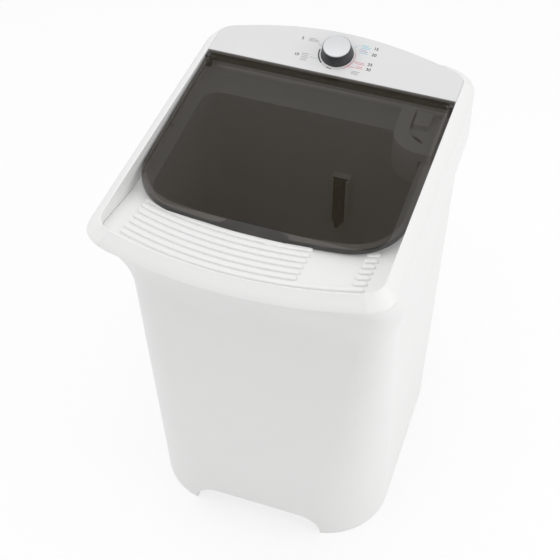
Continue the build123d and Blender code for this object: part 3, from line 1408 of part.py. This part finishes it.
with BuildPart() as drain_outlet:
    with BuildSketch(drain_axis.offset(outlet_start)):
        Circle(PIPE_RADIUS)
    extrude(amount=OUTLET_LENGTH)
    with BuildSketch(drain_axis.offset(HINGE_Y + BACK_REACH - SHELL_WALL - SEAM_GAP)):
        Circle(OUTLET_FLANGE_RADIUS)
    extrude(amount=-OUTLET_FLANGE)
    with BuildSketch(drain_axis.offset(outlet_start)):
        Circle(PIPE_RADIUS - PIPE_WALL)
    extrude(amount=OUTLET_LENGTH, mode=Mode.SUBTRACT)

drain_outlet.part.label = "drain_outlet"
export_step(drain_outlet.part, "parts/drain_outlet.step")

# Base plate, its screws and the rubber pads that the machine stands on
with BuildPart() as base_plate:
    with BuildSketch(level(BASE_HEIGHT)):
        side = BODY_HALF_WIDTH - SHELL_WALL - BASE_GAP
        front = BODY_FRONT - SHELL_WALL - BASE_GAP
        back = BACK_REACH - SHELL_WALL - BASE_GAP
        corner = FLOOR_CORNER - SHELL_WALL - BASE_GAP
        add(outline(side, front, back, corner, corner, FLAT, FLAT))
        with Locations((0, -BODY_FRONT)):
            Rectangle(
                2 * (ARCH_HALF_WIDTH + SHELL_WALL + BASE_GAP),
                2 * (ARCH_DEPTH + SHELL_WALL + ARCH_OVERLAP + BASE_GAP),
                mode=Mode.SUBTRACT,
            )
        for place in BASE_BOSS_PLACES:
            with Locations((0, -place)):
                with GridLocations(2 * (BODY_HALF_WIDTH - BASE_BOSS_INSET), 0, 2, 1):
                    Circle(SCREW_RADIUS, mode=Mode.SUBTRACT)
        for pad_x, pad_back in (FRONT_PAD, BACK_PAD):
            with Locations((0, -pad_back)):
                with GridLocations(2 * pad_x, 0, 2, 1):
                    Circle(PAD_STEM_RADIUS, mode=Mode.SUBTRACT)
    extrude(amount=BASE_WALL)

base_plate.part.label = "base_plate"
export_step(base_plate.part, "parts/base_plate.step")

with BuildPart() as base_screws:
    for place in BASE_BOSS_PLACES:
        with BuildSketch(level(BASE_HEIGHT)):
            with Locations((0, -place)):
                with GridLocations(2 * (BODY_HALF_WIDTH - BASE_BOSS_INSET), 0, 2, 1):
                    Circle(SCREW_HEAD_RADIUS)
        extrude(amount=-SCREW_HEAD)
        with BuildSketch(level(BASE_HEIGHT)):
            with Locations((0, -place)):
                with GridLocations(2 * (BODY_HALF_WIDTH - BASE_BOSS_INSET), 0, 2, 1):
                    Circle(SCREW_RADIUS)
        extrude(amount=BASE_WALL + BASE_BOSS_HEIGHT / 2)

base_screws.part.label = "base_screws"
export_step(base_screws.part, "parts/base_screws.step")

with BuildPart() as foot_pads:
    for pad_x, pad_back in (FRONT_PAD, BACK_PAD):
        with BuildSketch(level(0)):
            with Locations((0, -pad_back)):
                with GridLocations(2 * pad_x, 0, 2, 1):
                    Circle(PAD_RADIUS)
        extrude(amount=BASE_HEIGHT)
        with BuildSketch(level(BASE_HEIGHT)):
            with Locations((0, -pad_back)):
                with GridLocations(2 * pad_x, 0, 2, 1):
                    Circle(PAD_STEM_RADIUS)
        extrude(amount=BASE_WALL + PAD_STEM_END)

foot_pads.part.label = "foot_pads"
export_step(foot_pads.part, "parts/foot_pads.step")

# Service cover, flush in the back wall, with its screws
with BuildPart() as service_cover:
    with BuildSketch(back_wall.offset(-COVER_WALL)):
        add(cover_outline(COVER_GAP))
        with Locations(cover_screw_places):
            Circle(SCREW_RADIUS, mode=Mode.SUBTRACT)
        with Locations((0, VENT_HEIGHT)):
            with GridLocations(COVER_HALF_WIDTH, VENT_PITCH, 2, VENT_ROWS):
                SlotOverall(VENT_LENGTH, VENT_WIDTH, mode=Mode.SUBTRACT)
        with Locations((-GLAND_X, GLAND_HEIGHT)):
            Circle(GLAND_RADIUS, mode=Mode.SUBTRACT)
        with Locations((-DRAIN_X, DRAIN_HEIGHT)):
            Circle(PIPE_RADIUS, mode=Mode.SUBTRACT)
    extrude(amount=COVER_WALL)

service_cover.part.label = "service_cover"
export_step(service_cover.part, "parts/service_cover.step")

cover_screw_head = 1.2
with BuildPart() as cover_screws:
    with BuildSketch(back_wall):
        with Locations(cover_screw_places):
            Circle(SCREW_HEAD_RADIUS)
    extrude(amount=cover_screw_head)
    with BuildSketch(back_wall):
        with Locations(cover_screw_places):
            Circle(SCREW_RADIUS - RUNNING_GAP)
    extrude(amount=-3 * SHELL_WALL)

cover_screws.part.label = "cover_screws"
export_step(cover_screws.part, "parts/cover_screws.step")

# Gland for the mains cord
with BuildPart() as cord_gland:
    with BuildSketch(back_wall.offset(-3 * SHELL_WALL)):
        with Locations((-GLAND_X, GLAND_HEIGHT)):
            Circle(GLAND_RADIUS)
    extrude(amount=3 * SHELL_WALL)
    with BuildSketch(back_wall):
        with Locations((-GLAND_X, GLAND_HEIGHT)):
            Circle(GLAND_FLANGE_RADIUS)
    extrude(amount=OUTLET_FLANGE)
    with BuildSketch(back_wall.offset(-3 * SHELL_WALL)):
        with Locations((-GLAND_X, GLAND_HEIGHT)):
            Circle(GLAND_BORE)
    extrude(amount=4 * SHELL_WALL, mode=Mode.SUBTRACT)

cord_gland.part.label = "cord_gland"
export_step(cord_gland.part, "parts/cord_gland.step")

# Start capacitor, clamped upright on the base plate
capacitor_axis = Plane((CAPACITOR_X, HINGE_Y - CAPACITOR_BACK, BASE_HEIGHT + BASE_WALL))
with BuildPart() as capacitor:
    with BuildSketch(capacitor_axis):
        Circle(CAPACITOR_RADIUS)
    extrude(amount=CAPACITOR_LENGTH)
    chamfer(capacitor.edges().group_by(Axis.Z)[-1], CLAMP_WALL)

capacitor.part.label = "capacitor"
export_step(capacitor.part, "parts/capacitor.step")

with BuildPart() as capacitor_clamp:
    with BuildSketch(capacitor_axis.offset(CAPACITOR_LENGTH / 2)):
        Circle(CAPACITOR_RADIUS + CLAMP_WALL)
        Circle(CAPACITOR_RADIUS, mode=Mode.SUBTRACT)
    extrude(amount=CLAMP_WIDTH)
    with BuildSketch(capacitor_axis):
        with Locations((CAPACITOR_RADIUS + CLAMP_WALL, 0)):
            Rectangle(CLAMP_WALL, CLAMP_WIDTH)
    extrude(amount=CAPACITOR_LENGTH / 2 + CLAMP_WIDTH)
    with BuildSketch(capacitor_axis):
        with Locations((CAPACITOR_RADIUS + CLAMP_WALL / 2 + CLAMP_WIDTH / 2, 0)):
            Rectangle(CLAMP_WIDTH, CLAMP_WIDTH)
    extrude(amount=CLAMP_WALL)

capacitor_clamp.part.label = "capacitor_clamp"
export_step(capacitor_clamp.part, "parts/capacitor_clamp.step")
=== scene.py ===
import math

import bpy
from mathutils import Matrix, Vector
from mathutils.bvhtree import BVHTree


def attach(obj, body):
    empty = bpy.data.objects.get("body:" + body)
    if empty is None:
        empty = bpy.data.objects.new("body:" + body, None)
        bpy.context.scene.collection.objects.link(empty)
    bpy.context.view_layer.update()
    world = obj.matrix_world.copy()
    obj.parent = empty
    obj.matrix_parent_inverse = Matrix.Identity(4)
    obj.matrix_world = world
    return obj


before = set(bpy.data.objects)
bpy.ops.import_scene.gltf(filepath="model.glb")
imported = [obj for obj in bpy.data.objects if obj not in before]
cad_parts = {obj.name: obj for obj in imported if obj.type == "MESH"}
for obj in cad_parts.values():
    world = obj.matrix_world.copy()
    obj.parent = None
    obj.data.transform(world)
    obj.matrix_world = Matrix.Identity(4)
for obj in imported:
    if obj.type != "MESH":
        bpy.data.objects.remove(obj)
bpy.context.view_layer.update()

# The cabinet is one tall moulding in glossy white plastic. Its skirt flares out under the wide rim,
# and the rim slopes up towards the front. The rear cover is a tapered plate of the same plastic,
# held by four screws. All edges are a little soft, as they come from the mould.


def soften(node, edge, angle=32):
    """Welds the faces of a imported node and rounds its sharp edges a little."""
    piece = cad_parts[node]
    piece.data.shade_smooth()
    weld = piece.modifiers.new("weld", "WELD")
    weld.merge_threshold = 0.00002
    fold = math.radians(angle)
    if edge:
        bevel = piece.modifiers.new("edge", "BEVEL")
        bevel.width = edge
        bevel.segments = 2
        bevel.limit_method = "ANGLE"
        bevel.angle_limit = fold
    split = piece.modifiers.new("corners", "EDGE_SPLIT")
    split.split_angle = fold
    split.use_edge_sharp = False
    return piece


def finish_with(piece, material):
    """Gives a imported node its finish."""
    for place in piece.material_slots:
        place.material = material


def moulded_plastic(name, colour, roughness, grain, depth, drift=0.02):
    """Moulded plastic: a faint drift of colour, and fine pebbling of one grain and depth from the mould."""
    material = bpy.data.materials.new(name)
    material.use_nodes = True
    nodes, links = material.node_tree.nodes, material.node_tree.links
    shader = nodes["Principled BSDF"]
    shader.inputs["IOR"].default_value = 1.5
    place = nodes.new("ShaderNodeTexCoord")
    wide = nodes.new("ShaderNodeTexNoise")
    wide.inputs["Scale"].default_value = 9
    wide.inputs["Detail"].default_value = 3
    links.new(place.outputs["Object"], wide.inputs["Vector"])
    shade = nodes.new("ShaderNodeValToRGB")
    shade.color_ramp.elements[0].position = 0.3
    shade.color_ramp.elements[1].position = 0.7
    shade.color_ramp.elements[0].color = [c * (1 - drift) for c in colour] + [1]
    shade.color_ramp.elements[1].color = [min(1, c * (1 + drift)) for c in colour] + [1]
    links.new(wide.outputs["Fac"], shade.inputs["Fac"])
    links.new(shade.outputs["Color"], shader.inputs["Base Color"])
    fine = nodes.new("ShaderNodeTexNoise")
    fine.inputs["Scale"].default_value = grain
    fine.inputs["Detail"].default_value = 2
    links.new(place.outputs["Object"], fine.inputs["Vector"])
    polish = nodes.new("ShaderNodeMapRange")
    polish.inputs["To Min"].default_value = roughness * 0.85
    polish.inputs["To Max"].default_value = roughness * 1.15
    links.new(fine.outputs["Fac"], polish.inputs["Value"])
    links.new(polish.outputs["Result"], shader.inputs["Roughness"])
    bump = nodes.new("ShaderNodeBump")
    bump.inputs["Strength"].default_value = 0.25
    bump.inputs["Distance"].default_value = depth
    links.new(fine.outputs["Fac"], bump.inputs["Height"])
    links.new(bump.outputs["Normal"], shader.inputs["Normal"])
    return material


white_plastic = moulded_plastic("white moulding", (0.80, 0.80, 0.795), 0.34, 700, 0.00004, 0.006)
finish_with(soften("cabinet", 0), white_plastic)
finish_with(soften("rim", 0.0012), white_plastic)
finish_with(soften("service_cover", 0.0004), white_plastic)

# The tub insert is one white moulding: shelf, ribbed washboard tray and deep well. It hangs in the
# cabinet on four screws. The filter's guide, the drain elbow and the pulsator at the bottom of the
# well are moulded in the same plastic.
tub_plastic = moulded_plastic("tub moulding", (0.78, 0.78, 0.775), 0.38, 500, 0.00004, 0.006)
for node in ("tub", "filter_guide", "drain_elbow", "pulsator"):
    finish_with(soften(node, 0), tub_plastic)

# The fascia behind the hinge line is a crowned plate, moulded in satin light grey plastic. Its skirt
# drops inside the rim and sits on the ledge there.
fascia_plastic = moulded_plastic("fascia moulding", (0.68, 0.68, 0.685), 0.42, 900, 0.00003, 0.006)
finish_with(soften("fascia", 0), fascia_plastic)

# The lid is a shallow tray turned over, moulded in smoked clear plastic, and it swings on two pins.
# A bar of the same plastic runs along the front edge of the fascia, and lets much less light through.
# Both carry painted light and shade: their colour changes with the tilt of each face.


def smoked_plastic_with_painted_light(name, face, bevel, painted_slope_colour, painted_wall_colour, cover):
    """Smoked clear plastic with painted light and shade: one colour for each lie of the sheet, from flat to
    upright.
    """
    material = moulded_plastic(name, face, 0.09, 120, 0.00002)
    nodes, links = material.node_tree.nodes, material.node_tree.links
    shader = nodes["Principled BSDF"]
    shader.inputs["Alpha"].default_value = cover
    shader.inputs["IOR"].default_value = 1.25
    lie = nodes.new("ShaderNodeNewGeometry")
    split = nodes.new("ShaderNodeSeparateXYZ")
    links.new(lie.outputs["True Normal"], split.inputs["Vector"])
    # This ramp paints light and shade by tilt. Upright walls, slopes, the bevel and the flat top each get
    # their own colour.
    shade = nodes.new("ShaderNodeValToRGB")
    painted_light_stops = shade.color_ramp.elements
    painted_light_stops[0].position, painted_light_stops[0].color = 0.30, (*painted_wall_colour, 1)
    painted_light_stops[1].position, painted_light_stops[1].color = 0.60, (*painted_slope_colour, 1)
    for lift, colour in ((0.84, painted_slope_colour), (0.88, bevel), (0.965, bevel), (0.99, face)):
        painted_light_stops.new(lift).color = (*colour, 1)
    links.new(split.outputs["Z"], shade.inputs["Fac"])
    cloud = shader.inputs["Base Color"].links[0].from_socket
    mix = nodes.new("ShaderNodeMix")
    mix.data_type, mix.blend_type = "RGBA", "MIX"
    mix.inputs["Factor"].default_value = 0.8
    links.new(cloud, mix.inputs["A"])
    links.new(shade.outputs["Color"], mix.inputs["B"])
    links.new(mix.outputs["Result"], shader.inputs["Base Color"])
    return material


# Painted light on the lid: the bevel colour is a painted highlight along the front edge. The slope and wall
# colours are painted shade, which darkens the scoop and draws a dark line along the skirt.
smoke = smoked_plastic_with_painted_light(
    "smoked lid",
    face=(0.018, 0.012, 0.003),
    bevel=(0.085, 0.074, 0.062),
    painted_slope_colour=(0.016, 0.013, 0.010),
    painted_wall_colour=(0.003, 0.002, 0.001),
    cover=0.5,
)
lid_fold = 12
finish_with(soften("lid", 0, lid_fold), smoke)
# Painted light on the bar: its side colour is lighter than its top, so that the upright front face, which
# stands in shade, shows grey.
bar_top, bar_side_painted_light = (0.16, 0.15, 0.14), (0.19, 0.18, 0.165)
smoke_bar = smoked_plastic_with_painted_light(
    "smoked bar", face=bar_top, bevel=bar_top, painted_slope_colour=bar_side_painted_light, painted_wall_colour=bar_side_painted_light, cover=0.97
)
finish_with(soften("hinge_bar", 0.0004), smoke_bar)

# The knob is a fluted cone moulded in charcoal plastic, pushed on the shaft of the timer. A cap with
# a silver lacquer is pressed in its top.
charcoal_plastic = moulded_plastic("charcoal moulding", (0.035, 0.036, 0.040), 0.45, 1500, 0.00003)
finish_with(soften("knob", 0.0005), charcoal_plastic)
silver_lacquer = moulded_plastic("silver lacquer", (0.62, 0.625, 0.64), 0.35, 2500, 0.00001, 0.01)
silver_lacquer.node_tree.nodes["Principled BSDF"].inputs["Metallic"].default_value = 0.2
finish_with(soften("knob_cap", 0.0003), silver_lacquer)

# The dial print is pad printed ink on the crown of the fascia: a ring round the knob in black, grey
# and red, leader lines, short bars and plain numbers. It is a film a tenth of a millimetre thick, and
# its places are in millimetres to the right of the dial's centre and behind it.
fascia_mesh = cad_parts["fascia"].data
crown = BVHTree.FromPolygons(
    [v.co.copy() for v in fascia_mesh.vertices], [tuple(f.vertices) for f in fascia_mesh.polygons]
)
dial_y = 0.278
above_all = 1.2
film_top, film_root = 0.10, -0.02


def on_crown(x, y, height):
    """Place at a height over the crown of the fascia."""
    x, y = x / 1000, y / 1000 + dial_y
    place, *_ = crown.ray_cast(Vector((x, y, above_all)), Vector((0, 0, -1)))
    return (x, y, place.z + height / 1000)


def ink_film(name, sheets, ink):
    """Closed thin film over flat outlines, each given as its points and its faces."""
    points, faces = [], []
    for flat, cells in sheets:
        start, count = len(points), len(flat)
        for height in (film_top, film_root):
            points += [on_crown(x, y, height) for x, y in flat]
        edges = {}
        for cell in cells:
            faces.append([start + i for i in cell])
            faces.append([start + count + i for i in reversed(cell)])
            for i, j in zip(cell, [*cell[1:], cell[0]]):
                edges[(i, j)] = edges.get((i, j), 0) + 1
        for i, j in edges:
            if (j, i) not in edges:
                faces.append([start + i, start + count + i, start + count + j, start + j])
    mesh = bpy.data.meshes.new(name)
    mesh.from_pydata(points, [], faces)
    mesh.materials.append(ink)
    piece = bpy.data.objects.new(name, mesh)
    bpy.context.scene.collection.objects.link(piece)
    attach(piece, "machine")
    return piece


def stroke(points, width):
    """Line of one width along a few points, divided so that it follows the crown."""
    places, longest = [], 2
    for (x0, y0), (x1, y1) in zip(points, points[1:]):
        steps = max(1, math.ceil(math.hypot(x1 - x0, y1 - y0) / longest))
        places += [(x0 + (x1 - x0) * i / steps, y0 + (y1 - y0) * i / steps) for i in range(steps)]
    places.append(points[-1])
    flat = []
    for i, (x, y) in enumerate(places):
        (x0, y0), (x1, y1) = places[max(i - 1, 0)], places[min(i + 1, len(places) - 1)]
        length = math.hypot(x1 - x0, y1 - y0)
        across = ((y0 - y1) / length * width / 2, (x1 - x0) / length * width / 2)
        flat += [(x - across[0], y - across[1]), (x + across[0], y + across[1])]
    return flat, [(2 * i, 2 * i + 2, 2 * i + 3, 2 * i + 1) for i in range(len(places) - 1)]


ring_radius, ring_step = 35.6, 4


def arc(start, end, width):
    """Part of the printed ring, between two angles that grow from the right towards the back."""
    steps = max(2, int(abs(end - start) / ring_step))
    angles = [math.radians(start + (end - start) * i / steps) for i in range(steps + 1)]
    return stroke([(ring_radius * math.cos(a), ring_radius * math.sin(a)) for a in angles], width)


digit_height, digit_share, digit_weight = 6.5, 0.7, 0.16


def number(text, x, y):
    """Plain number, in the middle of a place."""
    digits = bpy.data.curves.new(text, "FONT")
    digits.body = text
    digits.size = digit_height / digit_share
    digits.resolution_u = 3
    digits.offset = digit_weight
    digits.align_x, digits.align_y = "CENTER", "CENTER"
    shape = bpy.data.objects.new(text, digits)
    mesh = bpy.data.meshes.new_from_object(shape)
    sheet = [(x + v.co.x, y + v.co.y) for v in mesh.vertices], [tuple(f.vertices) for f in mesh.polygons]
    bpy.data.objects.remove(shape)
    bpy.data.curves.remove(digits)
    bpy.data.meshes.remove(mesh)
    return sheet


def ink_finish(name, colour):
    """Pad printing ink."""
    return moulded_plastic(name, colour, 0.5, 2500, 0.00001)


black_ink = ink_finish("black ink", (0.02, 0.02, 0.02))
ink_film("ring_black", [arc(174, 228, 2.6), arc(252, 268, 1.6)], black_ink)
ink_film("numbers", [
    number("5", -76, 22), number("10", -76, -18), number("15", 69, 31),
    number("20", 69, 16), number("25", 68, -8), number("30", 68, -20),
], black_ink)
grey_ink = ink_finish("grey ink", (0.22, 0.22, 0.22))
ink_film("ring_grey", [arc(start, end, 0.5) for start, end in ((228, 252), (268, 306), (92, 140))], grey_ink)


def bars(x, rows, width):
    """Short bars that start in one column, each with its row and its reach."""
    return [stroke([(x, y), (x + reach, y)], width) for y, reach in rows]


ink_film("bars_left", [
    *bars(-64, ((25, 15), (22, 20), (19, 22)), 0.9),
    *bars(-66, ((-13, 14), (-17, 12), (-21, 14), (-25, 13), (-29, 12)), 0.9),
    stroke([(-42, 15), (-34.5, 11)], 0.5),
    stroke([(-50, -17), (-42, -20), (-31, -17.5)], 0.5),
], grey_ink)
ink_film("bars_front", bars(38, ((-31, 17), (-34, 13), (-37, 15)), 0.9), grey_ink)
blue_ink = ink_finish("blue ink", (0.16, 0.50, 0.62))
ink_film("bars_blue", [
    stroke([(28, 22), (33, 29), (38, 30)], 0.6),
    *bars(40, ((33, 14), (29.5, 19), (26, 17), (14, 16)), 1.1),
], blue_ink)
violet_ink = ink_finish("violet ink", (0.30, 0.26, 0.42))
ink_film("bars_violet", bars(38, ((21.5, 15), (18, 18)), 1.0), violet_ink)
red_ink = ink_finish("red ink", (0.62, 0.07, 0.12))
ink_film("ring_red", [arc(306, 342, 1.1), arc(342, 378, 0.6)], red_ink)
ink_film("bars_red", [
    stroke([(34.5, -8.5), (57, -8.5)], 0.9), stroke([(40, -12), (58, -12)], 1.1),
    stroke([(27, -23), (38, -22), (57, -22)], 0.8), stroke([(44, -18.5), (56, -18.5)], 1.1),
], red_ink)

# The dispenser cup hangs in a corner of the shelf, and its siphon cap is pushed in from above. Both
# are moulded in a pale plastic, and so is the cap over the bolt of the pulsator.
cup_plastic = moulded_plastic("cup moulding", (0.96, 0.96, 0.95), 0.4, 700, 0.00003, 0.01)
for node in ("dispenser_cup", "siphon_cap", "pulsator_cap"):
    finish_with(soften(node, 0.0006), cup_plastic)

# The lint filter is a wedge frame moulded in dark plastic, which slides down into its guide. A fine
# mesh is bonded behind its windows.
filter_plastic = moulded_plastic("filter moulding", (0.010, 0.010, 0.010), 0.5, 900, 0.00003)
finish_with(soften("filter_frame", 0.0003), filter_plastic)
filter_cloth = moulded_plastic("filter mesh", (0.05, 0.05, 0.05), 0.8, 3000, 0.0002)
finish_with(soften("filter_mesh", 0), filter_cloth)

# The base plate, the hinge blocks, the cord gland, the drain outlet, the timer's case and the motor's
# fan are tough black mouldings, screwed, clipped or pressed in where nobody looks.
black_plastic = moulded_plastic("black moulding", (0.03, 0.03, 0.03), 0.5, 900, 0.00005)
for node in ("base_plate", "hinge_blocks", "cord_gland", "drain_outlet", "timer", "motor_fan"):
    finish_with(soften(node, 0.0003), black_plastic)

# The foot pads, the drive belt, the shaft seal, the drain hose and the dampers over the motor plate
# are black rubber, moulded or extruded, with a dull skin.
rubber = moulded_plastic("rubber", (0.028, 0.028, 0.028), 0.75, 1200, 0.00008)
for node in ("foot_pads", "drive_belt", "shaft_seal", "drain_hose", "motor_dampers"):
    finish_with(soften(node, 0.0004), rubber)

# Screws, pins, nuts, clips, shafts and the motor plate are bright steel, most of it zinc plated. The
# housing, pulleys, motor shields and capacitor can are aluminium, the motor's cores are stacked sheet
# steel, and the bushes and the timer's shaft are bronze.


def metal(name, colour, roughness, grain, depth):
    """Bare metal with a fine surface of its own."""
    material = moulded_plastic(name, colour, roughness, grain, depth, 0.06)
    material.node_tree.nodes["Principled BSDF"].inputs["Metallic"].default_value = 1
    return material


zinc = metal("zinc plated steel", (0.62, 0.63, 0.64), 0.32, 900, 0.00003)
for node in (
    "tub_screws", "hinge_pins", "timer_nut", "pulsator_bolt", "drive_shaft", "housing_bolts", "pulley_nut",
    "motor_bearings", "motor_shaft", "motor_plate", "motor_bolts", "mount_bolts", "hose_clips", "base_screws",
    "cover_screws", "capacitor_clamp",
):
    finish_with(soften(node, 0.0002), zinc)
aluminium = metal("cast aluminium", (0.66, 0.66, 0.67), 0.45, 500, 0.0001)
for node in ("bearing_housing", "driven_pulley", "motor_pulley", "upper_shield", "lower_shield", "capacitor"):
    finish_with(soften(node, 0.0003), aluminium)
core_steel = metal("stacked sheet steel", (0.30, 0.31, 0.33), 0.5, 1500, 0.0001)
for node in ("motor_stator", "motor_rotor"):
    finish_with(soften(node, 0.0003), core_steel)
bronze = metal("sintered bronze", (0.45, 0.28, 0.13), 0.45, 1500, 0.00005)
for node in ("upper_bearing", "lower_bearing", "timer_shaft"):
    finish_with(soften(node, 0.0002), bronze)

# The studio is a wide pale floor that keeps a soft shadow, with white surroundings. A square soft lamp
# hangs overhead, and a second one stands on the right.


def seen_white(tree):
    """One for the rays by which the studio is seen, straight, in gloss or through clear plastic."""
    rays = tree.nodes.new("ShaderNodeLightPath")
    seen = rays.outputs["Is Camera Ray"]
    for way in ("Is Glossy Ray", "Is Transmission Ray"):
        either = tree.nodes.new("ShaderNodeMath")
        either.operation = "MAXIMUM"
        tree.links.new(seen, either.inputs[0])
        tree.links.new(rays.outputs[way], either.inputs[1])
        seen = either.outputs[0]
    return seen


half_floor = 9
corners = [(half_floor * x, half_floor * y, 0) for x, y in ((-1, -1), (1, -1), (1, 1), (-1, 1))]
ground = bpy.data.meshes.new("floor")
ground.from_pydata(corners, [], [(0, 1, 2, 3)])
floor = bpy.data.objects.new("floor", ground)
bpy.context.scene.collection.objects.link(floor)
floor_finish = bpy.data.materials.new("studio floor")
floor_finish.use_nodes = True
tree = floor_finish.node_tree
tree.nodes.remove(tree.nodes["Principled BSDF"])
paper = tree.nodes.new("ShaderNodeBsdfDiffuse")
paper.inputs["Color"].default_value = (0.98, 0.98, 0.98, 1)
glow = tree.nodes.new("ShaderNodeEmission")
share = tree.nodes.new("ShaderNodeMath")
share.operation = "MULTIPLY"
share.inputs[1].default_value = 0.72
tree.links.new(seen_white(tree), share.inputs[0])
blend = tree.nodes.new("ShaderNodeMixShader")
tree.links.new(share.outputs[0], blend.inputs["Fac"])
tree.links.new(paper.outputs[0], blend.inputs[1])
tree.links.new(glow.outputs[0], blend.inputs[2])
tree.links.new(blend.outputs[0], tree.nodes["Material Output"].inputs["Surface"])
ground.materials.append(floor_finish)

world = bpy.data.worlds.new("studio")
bpy.context.scene.world = world
world.use_nodes = True
sky = world.node_tree
around = sky.nodes["Background"]
around.inputs["Color"].default_value = (1, 1, 1, 1)
around.inputs["Strength"].default_value = 0.76
white = sky.nodes.new("ShaderNodeBackground")
white.inputs["Color"].default_value = (1, 1, 1, 1)
white.inputs["Strength"].default_value = 1
mix = sky.nodes.new("ShaderNodeMixShader")
sky.links.new(seen_white(sky), mix.inputs["Fac"])
sky.links.new(around.outputs[0], mix.inputs[1])
sky.links.new(white.outputs[0], mix.inputs[2])
sky.links.new(mix.outputs[0], sky.nodes["World Output"].inputs["Surface"])


def soft_lamp(name, place, target, size, power):
    """Square soft lamp that looks at a point."""
    lamp = bpy.data.lights.new(name, "AREA")
    lamp.size = size
    lamp.energy = power
    holder = bpy.data.objects.new(name, lamp)
    holder.location = place
    holder.rotation_euler = (Vector(target) - Vector(place)).to_track_quat("-Z", "Y").to_euler()
    bpy.context.scene.collection.objects.link(holder)


soft_lamp("overhead", place=(-0.6, -0.2, 3.2), target=(0, 0, 0.6), size=2.4, power=23)
soft_lamp("right side", place=(2.8, 0.2, 1.6), target=(0, 0, 0.5), size=2.0, power=20)

# The camera stands in front of the machine, a little to its right, and looks down into the rim with
# a long lens.
lens = bpy.data.cameras.new("camera")
lens.sensor_width = 36
lens.lens = 80.57
lens.clip_end = 60
camera = bpy.data.objects.new("camera", lens)
turn, dip = math.radians(18.69), math.radians(48.44)
camera.location = (0.51176, -1.5776, 2.42334)
camera.rotation_euler = (math.pi / 2 - dip, 0, turn)
bpy.context.scene.collection.objects.link(camera)
bpy.context.scene.camera = camera

bpy.context.scene.view_settings.view_transform = "Standard"
